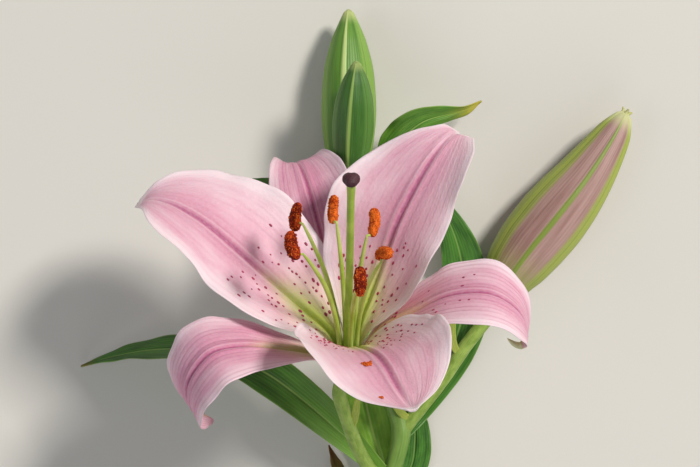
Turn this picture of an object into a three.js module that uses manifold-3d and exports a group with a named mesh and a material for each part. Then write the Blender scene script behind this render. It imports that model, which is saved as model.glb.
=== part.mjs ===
// A cut pink lily lying on its back on a table: one open flower, three buds, leaves and a cut stem.
// Millimetres. +Y runs up the stem towards the buds, +X is to the flower's right, +Z is up from the table.
// The origin is under the middle of the whole plant, at table height.
import * as THREE from "three";
import { mergeVertices } from "three/addons/utils/BufferGeometryUtils.js";
import Module from "manifold-3d";

const wasm = await Module();
wasm.setup();

// ---- Driving dimensions ----------------------------------------------------------------------

const GAP = 0.3; // clearance between pieces that touch

const STEM_RADIUS = 4.7; // at the cut end
const STEM_TIP_RADIUS = 3.1; // at the top node
const STEM_BELOW_FLOWER = 182; // along Y, from the cut end to the node of the open flower

const FLOWER_AT = new THREE.Vector3(-1, -54, 75); // where the tepals meet the receptacle
const FLOWER_LEAN = 48; // degrees from straight up, towards the top of the stem
const TEPAL_THICKNESS = 0.9;
const PETAL_HALF_WIDTH = 31;
const SEPAL_HALF_WIDTH = 21;

const PISTIL_LENGTH = 101;
const OVARY_RADIUS = 2.3;
const STYLE_RADIUS = 1.7;
const STIGMA_RADIUS = 3.9;
const STIGMA_HEIGHT = 5;
const FILAMENT_RADIUS = 1.1;
const ANTHER_LENGTH = 13;
const ANTHER_RADIUS = 2.5;
const ANTHER_BEND = 0.6; // how far its ends curl towards the filament

const PEDICEL_RADIUS = 3.3;
const RECEPTACLE_HEIGHT = 7;
const SMALL_BUD_SAG = 5.8; // how much lower the small bud's foot is than a bud lying on the large one

const PINK_BUD_LENGTH = 112;
const PINK_BUD_RADIUS = 15.6;
const LARGE_BUD_LENGTH = 82;
const LARGE_BUD_RADIUS = 13.8;
const SMALL_BUD_LENGTH = 54;
const SMALL_BUD_RADIUS = 10.2;

const LEAF_THICKNESS = 0.8;
const BRACT_HALF_WIDTH = 1.9;

// Rings on which the parts of the flower stand, from the middle out.
const FILAMENT_RING = OVARY_RADIUS + GAP + FILAMENT_RADIUS * 1.15;
const PETAL_RING = FILAMENT_RING + FILAMENT_RADIUS * 1.15 + GAP + TEPAL_THICKNESS / 2;
const SEPAL_RING = PETAL_RING + TEPAL_THICKNESS + GAP;
const RECEPTACLE_RADIUS = SEPAL_RING + TEPAL_THICKNESS;
const PETAL_CLAW = PETAL_RING * 0.79; // half the width of a petal's foot

// How finely each kind of piece is divided.
const TEPAL_MESH = { steps: 14, across: 8 };
const LEAF_MESH = { steps: 12, across: 4 };
const BRACT_MESH = { steps: 6, across: 4 };
const FILAMENT_MESH = { sides: 6, steps: 8 };
const ANTHER_MESH = { sides: 8, steps: 8 };
const PISTIL_MESH = { sides: 8, steps: 14 };
const RECEPTACLE_MESH = { sides: 12, steps: 6 };
const STEM_MESH = { sides: 10, steps: 20 };
const PEDICEL_MESH = { sides: 8, steps: 10 };
const BUD_MESH = { sides: 18, steps: 14 };
const STIGMA_MESH = { sides: 18, steps: 6 };

// ---- Small tools -----------------------------------------------------------------------------

const vec = (x, y, z) => new THREE.Vector3(x, y, z);
const rad = THREE.MathUtils.degToRad;
const smooth = (points) => new THREE.CatmullRomCurve3(points);

// A smooth value along 0..1 through hand-set [place, value] pairs, with no overshoot between them.
function along(pairs, u) {
  const last = pairs.length - 1;
  if (u <= pairs[0][0]) return pairs[0][1];
  if (u >= pairs[last][0]) return pairs[last][1];
  let k = 0;
  while (u > pairs[k + 1][0]) k += 1;
  const slope = (i) => (pairs[i + 1][1] - pairs[i][1]) / (pairs[i + 1][0] - pairs[i][0]);
  const lean = (i) => {
    if (i === 0) return slope(0);
    if (i === last) return slope(last - 1);
    const [a, b] = [slope(i - 1), slope(i)];
    return a * b <= 0 ? 0 : (2 * a * b) / (a + b);
  };
  const span = pairs[k + 1][0] - pairs[k][0];
  const t = (u - pairs[k][0]) / span;
  const h1 = t * t * (3 - 2 * t);
  const rise = span * (t * (1 - t) * (1 - t) * lean(k) - t * t * (1 - t) * lean(k + 1));
  return pairs[k][1] * (1 - h1) + pairs[k + 1][1] * h1 + rise;
}

// Closed surface through a list of closed rings, all with the same even number of points.
function loft(rings) {
  const count = rings[0].length;
  const positions = rings.flat().flatMap((p) => [p.x, p.y, p.z]);
  const faces = [];
  const at = (ring, i) => ring * count + ((i + count) % count);
  for (let r = 0; r < rings.length - 1; r += 1)
    for (let i = 0; i < count; i += 1) {
      faces.push(at(r, i), at(r + 1, i), at(r + 1, i + 1));
      faces.push(at(r, i), at(r + 1, i + 1), at(r, i + 1));
    }
  const cap = (ring, turned) => {
    for (let i = 0; i < count / 2 - 1; i += 1) {
      const [a, b] = [at(ring, i), at(ring, i + 1)];
      const [c, d] = [at(ring, count - 1 - i), at(ring, count - 2 - i)];
      if (turned) faces.push(a, d, b, a, c, d);
      else faces.push(a, b, d, a, d, c);
    }
  };
  cap(0, false);
  cap(rings.length - 1, true);
  const geometry = new THREE.BufferGeometry();
  geometry.setAttribute("position", new THREE.Float32BufferAttribute(positions, 3));
  geometry.setIndex(faces);
  return geometry;
}

const toSolid = (geometry) => {
  const merged = mergeVertices(geometry, 1e-3);
  return new wasm.Manifold(
    new wasm.Mesh({
      numProp: 3,
      vertProperties: merged.attributes.position.array,
      triVerts: new Uint32Array(merged.index.array),
    }),
  );
};

const toGeometry = (solid) => {
  const mesh = solid.getMesh();
  const geometry = new THREE.BufferGeometry();
  geometry.setAttribute("position", new THREE.Float32BufferAttribute(mesh.vertProperties, 3));
  geometry.setIndex(new THREE.BufferAttribute(mesh.triVerts, 1));
  return geometry;
};

// The largest piece of a geometry once its neighbours, each grown by the gap, are cut away.
function cutBy(geometry, neighbours) {
  const solid = neighbours.reduce((left, tool) => left.subtract(toSolid(tool)), toSolid(geometry));
  const pieces = solid.decompose().sort((a, b) => b.volume() - a.volume());
  return toGeometry(pieces[0]);
}

// ---- Limbs: stems, pedicels, filaments --------------------------------------------------------

// A round limb along a curve. radius(u) is its radius at 0..1 of its length.
function limb(curve, radius, { sides, steps }, grow = 0) {
  const frames = curve.computeFrenetFrames(steps, false);
  const rings = [];
  for (let i = 0; i <= steps; i += 1) {
    const u = i / steps;
    const centre = curve.getPointAt(u);
    const r = radius(u) + grow;
    const ring = [];
    for (let k = 0; k < sides; k += 1) {
      const a = (2 * Math.PI * k) / sides;
      const p = centre.clone();
      p.addScaledVector(frames.normals[i], r * Math.cos(a));
      p.addScaledVector(frames.binormals[i], -r * Math.sin(a));
      ring.push(p);
    }
    rings.push(ring);
  }
  return loft(rings);
}

// ---- Blades: tepals, leaves and bracts --------------------------------------------------------

const FLAT = [[0, 0]];
const NO_RUFFLE = { depth: 0, waves: 0, left: 0, right: 0 };
const RUFFLE_ALONG = [[0, 0], [0.25, 0.1], [0.5, 1], [0.85, 0.8], [1, 0]];

// A thin blade on a curve. outline gives the half width as a share of halfWidth, cup how far the
// margins bend up in degrees, roll how far the blade turns about its midrib. skew makes the right half
// wider than the left. ruffle waves the margins: its depth, how many waves, and where along a wave
// each margin starts. side(ahead) is the direction across the blade before it rolls.
function blade(spec) {
  const { curve, side, halfWidth, outline, thickness, mesh } = spec;
  const { cup = FLAT, roll = FLAT, skew = 0, ruffle = NO_RUFFLE } = spec;
  const { steps, across } = mesh;
  const rings = [];
  for (let i = 0; i <= steps; i += 1) {
    const u = i / steps;
    const centre = curve.getPointAt(u);
    const ahead = curve.getTangentAt(u);
    const sideways = side(ahead).projectOnPlane(ahead).normalize();
    sideways.applyAxisAngle(ahead, rad(along(roll, u)));
    const up = ahead.clone().cross(sideways);
    const width = halfWidth * along(outline, u);
    const bend = rad(along(cup, u)) + 1e-6;
    const upper = [];
    const lower = [];
    for (let k = 0; k <= across; k += 1) {
      const v = (2 * k) / across - 1;
      const span = width * (1 + skew * Math.sign(v));
      const x = (span * Math.sin(bend * v)) / bend;
      const phase = v < 0 ? ruffle.left : ruffle.right;
      const wave = Math.sin(2 * Math.PI * (ruffle.waves * u + phase));
      const lift =
        (span * (1 - Math.cos(bend * v))) / bend +
        ruffle.depth * along(RUFFLE_ALONG, u) * Math.abs(v) ** 3 * wave;
      const face = up.clone().multiplyScalar(Math.cos(bend * v));
      face.addScaledVector(sideways, -Math.sin(bend * v));
      const half = (thickness / 2) * (1 - 0.4 * v * v);
      const middle = centre.clone().addScaledVector(sideways, x).addScaledVector(up, lift);
      upper.push(middle.clone().addScaledVector(face, half));
      lower.unshift(middle.clone().addScaledVector(face, -half));
    }
    rings.push([...upper, ...lower]);
  }
  return loft(rings);
}

// ---- The open flower --------------------------------------------------------------------------

const PETAL_OUTLINE = [
  [0, PETAL_CLAW / PETAL_HALF_WIDTH],
  [0.08, (1.8 * PETAL_CLAW) / PETAL_HALF_WIDTH],
  [0.18, 0.58],
  [0.3, 0.87],
  [0.42, 0.98],
  [0.55, 1],
  [0.73, 0.86],
  [0.87, 0.54],
  [0.95, 0.23],
  [1, 0.07],
];
const SEPAL_OUTLINE = [
  [0, 0.19],
  [0.08, 0.25],
  [0.2, 0.45],
  [0.35, 0.75],
  [0.5, 0.95],
  [0.62, 1],
  [0.78, 0.84],
  [0.9, 0.52],
  [0.97, 0.2],
  [1, 0.08],
];

// Each tepal's midrib as [out from the flower's axis, up along it], past its foot on the receptacle.
// The bearing runs anticlockwise from +X as seen looking into the flower.
const TEPALS = {
  petal_left: {
    kind: "petal",
    bearing: 157,
    midrib: [[10, 9], [24, 20], [43, 34], [57, 45], [72, 55], [87, 60], [97, 59], [104, 54]],
    skew: -0.14,
    cup: [[0, 47], [0.25, 40], [0.5, 24], [0.8, 12], [1, 24]],
    roll: [[0, 0], [0.25, -6], [0.6, -8], [1, 0]],
    ruffle: { depth: 3, waves: 2.2, left: 0.1, right: 0.5 },
  },
  petal_right: {
    kind: "petal",
    bearing: 52,
    midrib: [[9, 12], [18, 25], [28, 40], [36, 53], [46, 63], [58, 72], [69, 77], [78, 78], [84, 74]],
    skew: 0.07,
    cup: [[0, 47], [0.25, 34], [0.5, 28], [0.8, 20], [1, 24]],
    ruffle: { depth: 4, waves: 2, left: 0.6, right: 0.2 },
  },
  petal_front: {
    kind: "petal",
    bearing: -73,
    widen: 1.08,
    midrib: [[12, 13], [26, 26], [42, 38], [57, 45], [72, 48], [84, 51], [92, 55]],
    skew: -0.06,
    cup: [[0, 47], [0.25, 62], [0.5, 45], [0.8, 26], [1, 30]],
    roll: [[0, 0], [0.3, -5], [0.7, -2], [1, 0]],
    ruffle: { depth: 3, waves: 2.4, left: 0.2, right: 0.7 },
  },
  sepal_back: {
    kind: "sepal",
    bearing: 105,
    widen: 0.94,
    midrib: [[15, 8], [34, 21], [58, 33], [80, 39], [95, 36], [103, 26]],
    cup: [[0, 37], [0.3, 20], [0.6, 14], [1, 14]],
  },
  sepal_left: {
    kind: "sepal",
    bearing: 208,
    midrib: [[14, 4], [30, 15], [52, 28], [68, 31], [79, 19], [80, 5], [70, -12]],
    cup: [[0, 37], [0.3, 15], [0.6, 5], [1, 10]],
  },
  sepal_right: {
    kind: "sepal",
    bearing: -9,
    midrib: [[15, 15], [30, 30], [47, 43], [64, 46], [76, 38], [81, 26], [80, 16]],
    cup: [[0, 37], [0.3, 15], [0.6, 5], [1, 10]],
  },
};

const TEPAL_KINDS = {
  petal: { outline: PETAL_OUTLINE, halfWidth: PETAL_HALF_WIDTH, ring: PETAL_RING },
  sepal: { outline: SEPAL_OUTLINE, halfWidth: SEPAL_HALF_WIDTH, ring: SEPAL_RING },
};

function tepal({ kind, bearing, midrib, widen = 1, ...shape }, grow = 0) {
  const { outline, halfWidth, ring } = TEPAL_KINDS[kind];
  const turn = rad(bearing);
  const inPlane = ([away, up]) => vec(Math.cos(turn) * away, Math.sin(turn) * away, up);
  return blade({
    curve: smooth([[ring, 0.5], ...midrib].map(inPlane)),
    side: () => vec(-Math.sin(turn), Math.cos(turn), 0),
    halfWidth: halfWidth * widen + grow,
    outline,
    thickness: TEPAL_THICKNESS + 2 * grow,
    mesh: TEPAL_MESH,
    ...shape,
  });
}

// Stamens: the bearing of the foot, where the filament ends, which way the anther points, how far
// along the anther the filament meets it and, where it is not outwards, the side it is carried on.
const STAMENS = [
  { foot: 208, tip: [-19.5, -9, 69], anther: [-0.27, 0.65, 0.71], grip: 0.15 },
  { foot: 157, tip: [-20, 13, 67], anther: [0.1, 0.66, 0.74], grip: 0.3 },
  { foot: 104, tip: [-5, 14, 67], anther: [0.05, 0.67, 0.74], grip: 0.08 },
  { foot: 46, tip: [8.5, 8, 64.5], anther: [0.05, 0.66, 0.74], grip: 0.06 },
  { foot: -8, tip: [14.5, -11, 66], anther: [0.45, -0.59, 0.67], grip: 0.35, side: [0.1, 0.67, 0.74] },
  { foot: -72, tip: [4.5, -25, 65], anther: [0, 0.67, 0.74], grip: 0.35 },
];

function filamentCurve(foot, [x, y, z]) {
  const turn = rad(foot);
  const base = vec(Math.cos(turn) * FILAMENT_RING, Math.sin(turn) * FILAMENT_RING, 1);
  const lean = (share, height) => base.clone().lerp(vec(x, y, 1), share).setZ(z * height);
  return smooth([base, lean(0.1, 0.3), lean(0.4, 0.65), lean(0.8, 0.9), vec(x, y, z)]);
}

const filamentRadius = (u) => FILAMENT_RADIUS * along([[0, 1.1], [0.5, 1.1], [1, 0.65]], u);

// A bean-shaped anther, carried beside the end of its filament.
function anther({ tip, anther: heading, grip, side = [tip[0], tip[1], 0] }) {
  const ahead = vec(...heading).normalize();
  const away = vec(...side).projectOnPlane(ahead).normalize();
  const centre = vec(...tip).addScaledVector(ahead, (0.5 - grip) * ANTHER_LENGTH);
  centre.addScaledVector(away, ANTHER_RADIUS + FILAMENT_RADIUS + GAP);
  const end = (sign) =>
    centre.clone().addScaledVector(ahead, (sign * ANTHER_LENGTH) / 2).addScaledVector(away, -ANTHER_BEND);
  const outline = [[0, 0.35], [0.12, 0.8], [0.5, 1], [0.88, 0.8], [1, 0.35]];
  return limb(smooth([end(-1), centre, end(1)]), (u) => ANTHER_RADIUS * along(outline, u), ANTHER_MESH);
}

// ---- Stem, pedicels and receptacle ------------------------------------------------------------

const FLOWER_NODE = -128; // Y of each place where something leaves the stem
const PINK_BUD_NODE = -98;
const SMALL_BUD_NODE = 15;
const STEM_CURVE = smooth([
  vec(8, FLOWER_NODE - STEM_BELOW_FLOWER, STEM_RADIUS),
  vec(10, FLOWER_NODE - STEM_BELOW_FLOWER * 0.66, 6),
  vec(13, FLOWER_NODE - STEM_BELOW_FLOWER * 0.32, 9),
  vec(18, FLOWER_NODE, 12.5),
  vec(25, PINK_BUD_NODE, 13),
  vec(21, -83, 13),
  vec(12, -60, 12),
  vec(5, -30, 12),
  vec(2, -3, 12),
  vec(1, 20, 13),
]);
const stemRadius = (u) => along([[0, STEM_RADIUS], [0.6, STEM_RADIUS * 0.95], [1, STEM_TIP_RADIUS]], u);

// The point of the stem's axis at a given Y.
function onStem(y) {
  const steps = 200;
  for (let i = 0; i < steps; i += 1) {
    const [a, b] = [STEM_CURVE.getPointAt(i / steps), STEM_CURVE.getPointAt((i + 1) / steps)];
    if (a.y <= y && y <= b.y) return a.lerp(b, (y - a.y) / (b.y - a.y));
  }
  return STEM_CURVE.getPointAt(1);
}

// A stalk from its start through points measured from there, arriving at its end along the heading.
function stalk(start, through, end, heading) {
  const steps = through.map((step) => start.clone().add(vec(...step)));
  return smooth([start, ...steps, end.clone().addScaledVector(heading, -PEDICEL_RADIUS), end]);
}

const flowerAxis = vec(0, Math.sin(rad(FLOWER_LEAN)), Math.cos(rad(FLOWER_LEAN)));

// ---- Buds -------------------------------------------------------------------------------------

const PINK_BUD_OUTLINE = [
  [0, 0.28],
  [0.04, 0.6],
  [0.12, 0.86],
  [0.25, 1],
  [0.45, 0.97],
  [0.66, 0.78],
  [0.84, 0.48],
  [0.95, 0.27],
  [1, 0.18],
];
const GREEN_BUD_OUTLINE = [
  [0, 0.3],
  [0.05, 0.6],
  [0.18, 0.88],
  [0.4, 1],
  [0.6, 0.93],
  [0.8, 0.66],
  [0.93, 0.33],
  [1, 0.12],
];

// A closed bud, rounded three-sided, from its base towards its tip.
function bud({ base, heading, length, radius, outline, turn, mesh = BUD_MESH }) {
  const ahead = heading.clone().normalize();
  const sideways = vec(0, 0, 1).cross(ahead).normalize();
  const up = ahead.clone().cross(sideways);
  const { sides, steps } = mesh;
  const rings = [];
  for (let i = 0; i <= steps; i += 1) {
    const u = i / steps;
    const centre = base.clone().addScaledVector(ahead, length * u);
    const ring = [];
    for (let k = 0; k < sides; k += 1) {
      const a = (2 * Math.PI * k) / sides;
      const r = radius * along(outline, u) * (0.97 + 0.03 * Math.cos(3 * (a - rad(turn))));
      const p = centre.clone().addScaledVector(sideways, r * Math.cos(a));
      ring.push(p.addScaledVector(up, r * Math.sin(a)));
    }
    rings.push(ring.reverse());
  }
  return loft(rings);
}

// ---- Leaves -----------------------------------------------------------------------------------

const LEAF_OUTLINE = [
  [0, 0.3],
  [0.1, 0.5],
  [0.3, 0.88],
  [0.5, 1],
  [0.7, 0.84],
  [0.88, 0.42],
  [1, 0.04],
];

// Each leaf starts on the stem's axis at a given Y. reach holds the other points of its midrib,
// measured from there; roll turns the blade about its midrib.
const LEAVES = {
  leaf_left: {
    from: -121,
    reach: [[-22, 22, 7], [-42, 40, 12], [-61, 54, 16], [-80, 62, 19], [-100, 65, 17], [-120, 64, 10],
      [-138, 60, 0], [-153, 55, -10]],
    halfWidth: 11,
    cup: [[0, 40], [0.3, 25], [1, 15]],
    roll: [[0, 0], [0.4, 10], [0.6, 50], [1, 60]],
  },
  leaf_right: {
    from: -100,
    reach: [[8, 11, -7], [17, 27, -8], [26, 44, -8], [31, 61, -7], [31, 79, -4], [27, 97, 1], [20, 112, 4],
      [11, 123, 4]],
    halfWidth: 11.5,
    cup: [[0, 40], [0.3, 12], [1, 12]],
  },
  leaf_sunlit: {
    from: -122,
    reach: [[-3, 8, -7.5], [-8, 24, -8.5], [-12, 42, -8.5], [-14, 60, -8]],
    halfWidth: 14,
  },
  leaf_shaded: {
    from: -134,
    reach: [[6, 8, -7], [13, 18, -9], [15, 32, -9.5], [14, 46, -9.5], [12, 58, -9.5]],
    halfWidth: 8.5,
  },
  leaf_twisted: {
    from: 8,
    reach: [[12, 18, 3], [22, 36, 9], [34, 46, 14], [47, 50, 12], [56, 53, 8], [63, 57, 2]],
    halfWidth: 7,
    roll: [[0, 0], [0.35, -30], [0.7, 40], [1, 60]],
  },
  leaf_hidden: {
    from: -3,
    reach: [[-13, 13, 5], [-30, 22, 11], [-44, 26, 12], [-55, 29, 8]],
    halfWidth: 7,
  },
  leaf_withered: {
    from: -165,
    reach: [[-8, 16, 0], [-15, 34, -3], [-21, 50, -5], [-25, 60, -6]],
    halfWidth: 6,
    roll: [[0, 0], [1, 40]],
  },
  leaf_lower_1: {
    from: -196,
    reach: [[18, 12, 5], [38, 28, 8], [58, 42, 5], [74, 54, -6]],
    halfWidth: 12,
    cup: [[0, 40], [0.3, 20], [1, 10]],
  },
  leaf_lower_2: {
    from: -214,
    reach: [[-17, 12, 6], [-38, 27, 9], [-60, 42, 5], [-80, 54, -5]],
    halfWidth: 13,
    cup: [[0, 40], [0.3, 20], [1, 10]],
  },
  leaf_lower_3: {
    from: -236,
    reach: [[16, 8, 3], [38, 20, 4], [60, 31, 1], [80, 38, -5]],
    halfWidth: 12,
    cup: [[0, 40], [0.3, 20], [1, 10]],
  },
};

const BRACT_OUTLINE = [
  [0, 0.8],
  [0.3, 1],
  [0.7, 0.8],
  [1, 0.1],
];

// A blade through points, face up before it rolls.
function leaf({ points, halfWidth, outline = LEAF_OUTLINE, ...shape }) {
  return blade({
    curve: smooth(points),
    side: (ahead) => vec(0, 0, 1).cross(ahead),
    halfWidth,
    outline,
    thickness: LEAF_THICKNESS,
    cup: [[0, 30], [0.3, 8], [1, 8]],
    mesh: LEAF_MESH,
    ...shape,
  });
}

// ---- Assembly ---------------------------------------------------------------------------------

const COLOURS = {
  petal: { color: 0xe9a9c6, roughness: 0.5 },
  sepal: { color: 0xdf8fb4, roughness: 0.5 },
  filament: { color: 0x9fb84a, roughness: 0.45 },
  pollen: { color: 0xb43a10, roughness: 0.95 },
  pistil: { color: 0x8fb23c, roughness: 0.45 },
  stigma: { color: 0x3a1622, roughness: 0.35 },
  stem: { color: 0x5f8a38, roughness: 0.5 },
  leaf: { color: 0x2f6a1c, roughness: 0.4 },
  bract: { color: 0x9bb03a, roughness: 0.5 },
  pink_bud: { color: 0x94695f, roughness: 0.45 },
  green_bud: { color: 0x6fa02c, roughness: 0.45 },
};

function add(parent, name, geometry, look) {
  const material = new THREE.MeshStandardMaterial({ metalness: 0, ...COLOURS[look] });
  const mesh = new THREE.Mesh(geometry, material);
  mesh.name = name;
  parent.add(mesh);
}

const plant = new THREE.Group();

const flower = new THREE.Group();
flower.position.copy(FLOWER_AT);
flower.rotation.x = -rad(FLOWER_LEAN);
plant.add(flower);

// Each tepal keeps clear of the ones already in place.
const tepalRoom = [];
for (const [name, spec] of Object.entries(TEPALS)) {
  add(flower, name, cutBy(tepal(spec), tepalRoom), spec.kind);
  tepalRoom.push(tepal(spec, GAP));
}

STAMENS.forEach((stamen, i) => {
  const curve = filamentCurve(stamen.foot, stamen.tip);
  add(flower, `filament_${i + 1}`, limb(curve, filamentRadius, FILAMENT_MESH), "filament");
  add(flower, `anther_${i + 1}`, anther(stamen), "pollen");
});

const PISTIL_TIP = vec(1.5, 0, PISTIL_LENGTH);
const pistilCurve = smooth([0.01, 0.35, 0.7, 1].map((share) => PISTIL_TIP.clone().multiplyScalar(share)));
const PISTIL_RADII = [
  [0, OVARY_RADIUS * 0.9],
  [0.1, OVARY_RADIUS],
  [0.28, OVARY_RADIUS * 0.92],
  [0.36, STYLE_RADIUS],
  [0.9, STYLE_RADIUS],
  [1, STYLE_RADIUS * 1.2],
];
add(flower, "pistil", limb(pistilCurve, (u) => along(PISTIL_RADII, u), PISTIL_MESH), "pistil");

const STIGMA_OUTLINE = [[0, 0.72], [0.2, 1], [0.55, 0.98], [0.85, 0.68], [1, 0.25]];
const stigma = bud({
  base: PISTIL_TIP.clone().add(vec(0, 0, GAP * 2)),
  heading: vec(0, 0.001, 1),
  length: STIGMA_HEIGHT,
  radius: STIGMA_RADIUS,
  outline: STIGMA_OUTLINE,
  turn: 30,
  mesh: STIGMA_MESH,
});
add(flower, "stigma", stigma, "stigma");

const receptacleCurve = smooth([-RECEPTACLE_HEIGHT, -RECEPTACLE_HEIGHT / 2, -GAP].map((z) => vec(0, 0, z)));
const RECEPTACLE_RADII = [
  [0, PEDICEL_RADIUS * 1.1],
  [0.5, PEDICEL_RADIUS * 1.5],
  [0.9, RECEPTACLE_RADIUS],
  [1, RECEPTACLE_RADIUS * 0.97],
];
add(flower, "receptacle", limb(receptacleCurve, (u) => along(RECEPTACLE_RADII, u), RECEPTACLE_MESH), "stem");

add(plant, "stem", limb(STEM_CURVE, stemRadius, STEM_MESH), "stem");
const stemRoom = limb(STEM_CURVE, stemRadius, STEM_MESH, GAP);

// Where each bud's stalk ends and which way the bud points. The pink and large buds lie on the table.
const pinkBase = vec(73, -34, PINK_BUD_RADIUS + 0.5);
const pinkHeading = vec(62, 93, 1).normalize();
const largeBase = vec(-0.8, 28, LARGE_BUD_RADIUS + 0.2);
const largeHeading = vec(0, 1, 0.01).normalize();
const smallBase = vec(0, 30, 2 * LARGE_BUD_RADIUS + SMALL_BUD_RADIUS - SMALL_BUD_SAG);
const smallHeading = vec(3, 52, 17).normalize();
const flowerFoot = FLOWER_AT.clone().addScaledVector(flowerAxis, -RECEPTACLE_HEIGHT - GAP);

// Each pedicel's node on the stem, its middle points measured from there, its end and how it arrives.
const PEDICELS = {
  pedicel_flower: {
    node: FLOWER_NODE,
    through: [[-13, 22, 20], [-20, 42, 38], [-23, 55, 49]],
    end: flowerFoot,
    heading: flowerAxis,
  },
  pedicel_pink_bud: {
    node: PINK_BUD_NODE,
    through: [[11, 14, 1], [21, 27, 2], [31, 42, 3]],
    end: pinkBase,
    heading: pinkHeading,
  },
  pedicel_small_bud: {
    node: SMALL_BUD_NODE,
    through: [[0, 4, 9], [-1, 9, 14]],
    end: smallBase,
    heading: smallHeading,
  },
};
const pedicelCurve = {};
const pedicelRoom = {};
for (const [name, { node, through, end, heading }] of Object.entries(PEDICELS)) {
  const curve = stalk(onStem(node), through, end, heading);
  const shape = [curve, () => PEDICEL_RADIUS, PEDICEL_MESH];
  add(plant, name, cutBy(limb(...shape), [stemRoom]), "stem");
  pedicelCurve[name] = curve;
  pedicelRoom[name] = limb(...shape, GAP);
}

const buds = {
  bud_pink: {
    base: pinkBase.clone().addScaledVector(pinkHeading, GAP),
    heading: pinkHeading,
    length: PINK_BUD_LENGTH,
    radius: PINK_BUD_RADIUS,
    outline: PINK_BUD_OUTLINE,
    turn: 90,
  },
  bud_large: {
    base: largeBase,
    heading: largeHeading,
    length: LARGE_BUD_LENGTH,
    radius: LARGE_BUD_RADIUS,
    outline: GREEN_BUD_OUTLINE,
    turn: 80,
  },
  bud_small: {
    base: smallBase.clone().addScaledVector(smallHeading, GAP),
    heading: smallHeading,
    length: SMALL_BUD_LENGTH,
    radius: SMALL_BUD_RADIUS,
    outline: GREEN_BUD_OUTLINE,
    turn: 80,
  },
};
for (const [name, spec] of Object.entries(buds))
  add(plant, name, bud(spec), name === "bud_pink" ? "pink_bud" : "green_bud");

for (const [name, { from, reach, ...shape }] of Object.entries(LEAVES)) {
  const start = onStem(from);
  const points = [start, ...reach.map((step) => start.clone().add(vec(...step)))];
  add(plant, name, cutBy(leaf({ points, ...shape }), [stemRoom, ...Object.values(pedicelRoom)]), "leaf");
}

// Narrow bracts: the stalk each one leaves, how far along it, and its midrib from there.
const BRACTS = {
  bract_flower: { on: "pedicel_flower", at: 0.53, reach: [[2, 7, 8], [3, 14, 14], [4, 22, 18]] },
  bract_pink_bud: { on: "pedicel_pink_bud", at: 0.6, reach: [[-3, 5, 5], [-4, 13, 9], [-2, 25, 12]] },
  bract_node: { on: "pedicel_pink_bud", at: 0.1, reach: [[-4, 3, 4], [-8, 8, 7], [-11, 15, 8]] },
};
for (const [name, { on, at, reach }] of Object.entries(BRACTS)) {
  const start = pedicelCurve[on].getPointAt(at);
  const points = [start, ...reach.map((step) => start.clone().add(vec(...step)))];
  const shape = leaf({ points, halfWidth: BRACT_HALF_WIDTH, outline: BRACT_OUTLINE, mesh: BRACT_MESH });
  add(plant, name, cutBy(shape, [stemRoom, pedicelRoom[on]]), "bract");
}

// The origin goes under the middle of the whole plant, at the height of its lowest point.
const bounds = new THREE.Box3().setFromObject(plant, true);
const middle = bounds.getCenter(vec(0, 0, 0));
plant.position.set(-middle.x, -middle.y, -bounds.min.z);

export default plant;
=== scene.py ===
"""A cut pink lily lying on its back on a pale table: an open flower, three buds, leaves and a cut stem.

Shapes are laid out in millimetres in the plant's own frame: +Y runs up the stem, +X is to the flower's
right and +Z is up from the table. make_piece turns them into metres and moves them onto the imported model.
"""
import math

import bmesh
import bpy
import numpy as np
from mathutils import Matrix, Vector


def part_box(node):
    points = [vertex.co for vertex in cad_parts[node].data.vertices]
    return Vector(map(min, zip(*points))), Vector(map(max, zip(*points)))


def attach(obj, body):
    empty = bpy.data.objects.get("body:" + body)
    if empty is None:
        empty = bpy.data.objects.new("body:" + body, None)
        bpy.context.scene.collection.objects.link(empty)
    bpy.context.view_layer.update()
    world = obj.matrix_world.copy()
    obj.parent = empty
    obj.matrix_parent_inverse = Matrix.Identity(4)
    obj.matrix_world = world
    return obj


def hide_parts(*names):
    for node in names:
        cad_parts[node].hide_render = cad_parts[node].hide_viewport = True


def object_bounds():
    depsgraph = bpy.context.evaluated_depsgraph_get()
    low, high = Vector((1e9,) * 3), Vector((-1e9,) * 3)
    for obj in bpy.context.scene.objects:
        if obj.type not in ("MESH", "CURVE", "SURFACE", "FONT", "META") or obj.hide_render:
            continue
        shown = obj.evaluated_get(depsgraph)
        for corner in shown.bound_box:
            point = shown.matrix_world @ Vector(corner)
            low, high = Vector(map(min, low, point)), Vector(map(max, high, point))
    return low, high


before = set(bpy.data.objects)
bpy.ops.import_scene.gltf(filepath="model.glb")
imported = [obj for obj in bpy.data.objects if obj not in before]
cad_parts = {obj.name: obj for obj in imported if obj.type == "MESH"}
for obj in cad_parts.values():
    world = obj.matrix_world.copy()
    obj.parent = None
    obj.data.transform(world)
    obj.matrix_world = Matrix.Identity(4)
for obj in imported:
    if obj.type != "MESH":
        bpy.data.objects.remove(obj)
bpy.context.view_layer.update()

# ---- Driving dimensions, in millimetres and degrees ----

MM = 0.001
UP = np.array([0.0, 0.0, 1.0])
GAP = 0.3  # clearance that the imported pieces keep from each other

STEM_RADIUS = 4.7
STEM_TIP_RADIUS = 3.1
STEM_BELOW_FLOWER = 182
FLOWER_NODE = -128  # the Y at which each stalk or leaf leaves the stem
PINK_BUD_NODE = -98
SMALL_BUD_NODE = 15
WITHERED_LEAF_NODE = -165
LOWER_LEAF_NODES = (-196, -214, -236)

FLOWER_AT = np.array([-1.0, -54.0, 75.0])
FLOWER_LEAN = 48
TEPAL_THICKNESS = 0.9
TEPAL_VEINS = 17
PETAL_HALF_WIDTH = 31
SEPAL_HALF_WIDTH = 21

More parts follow.
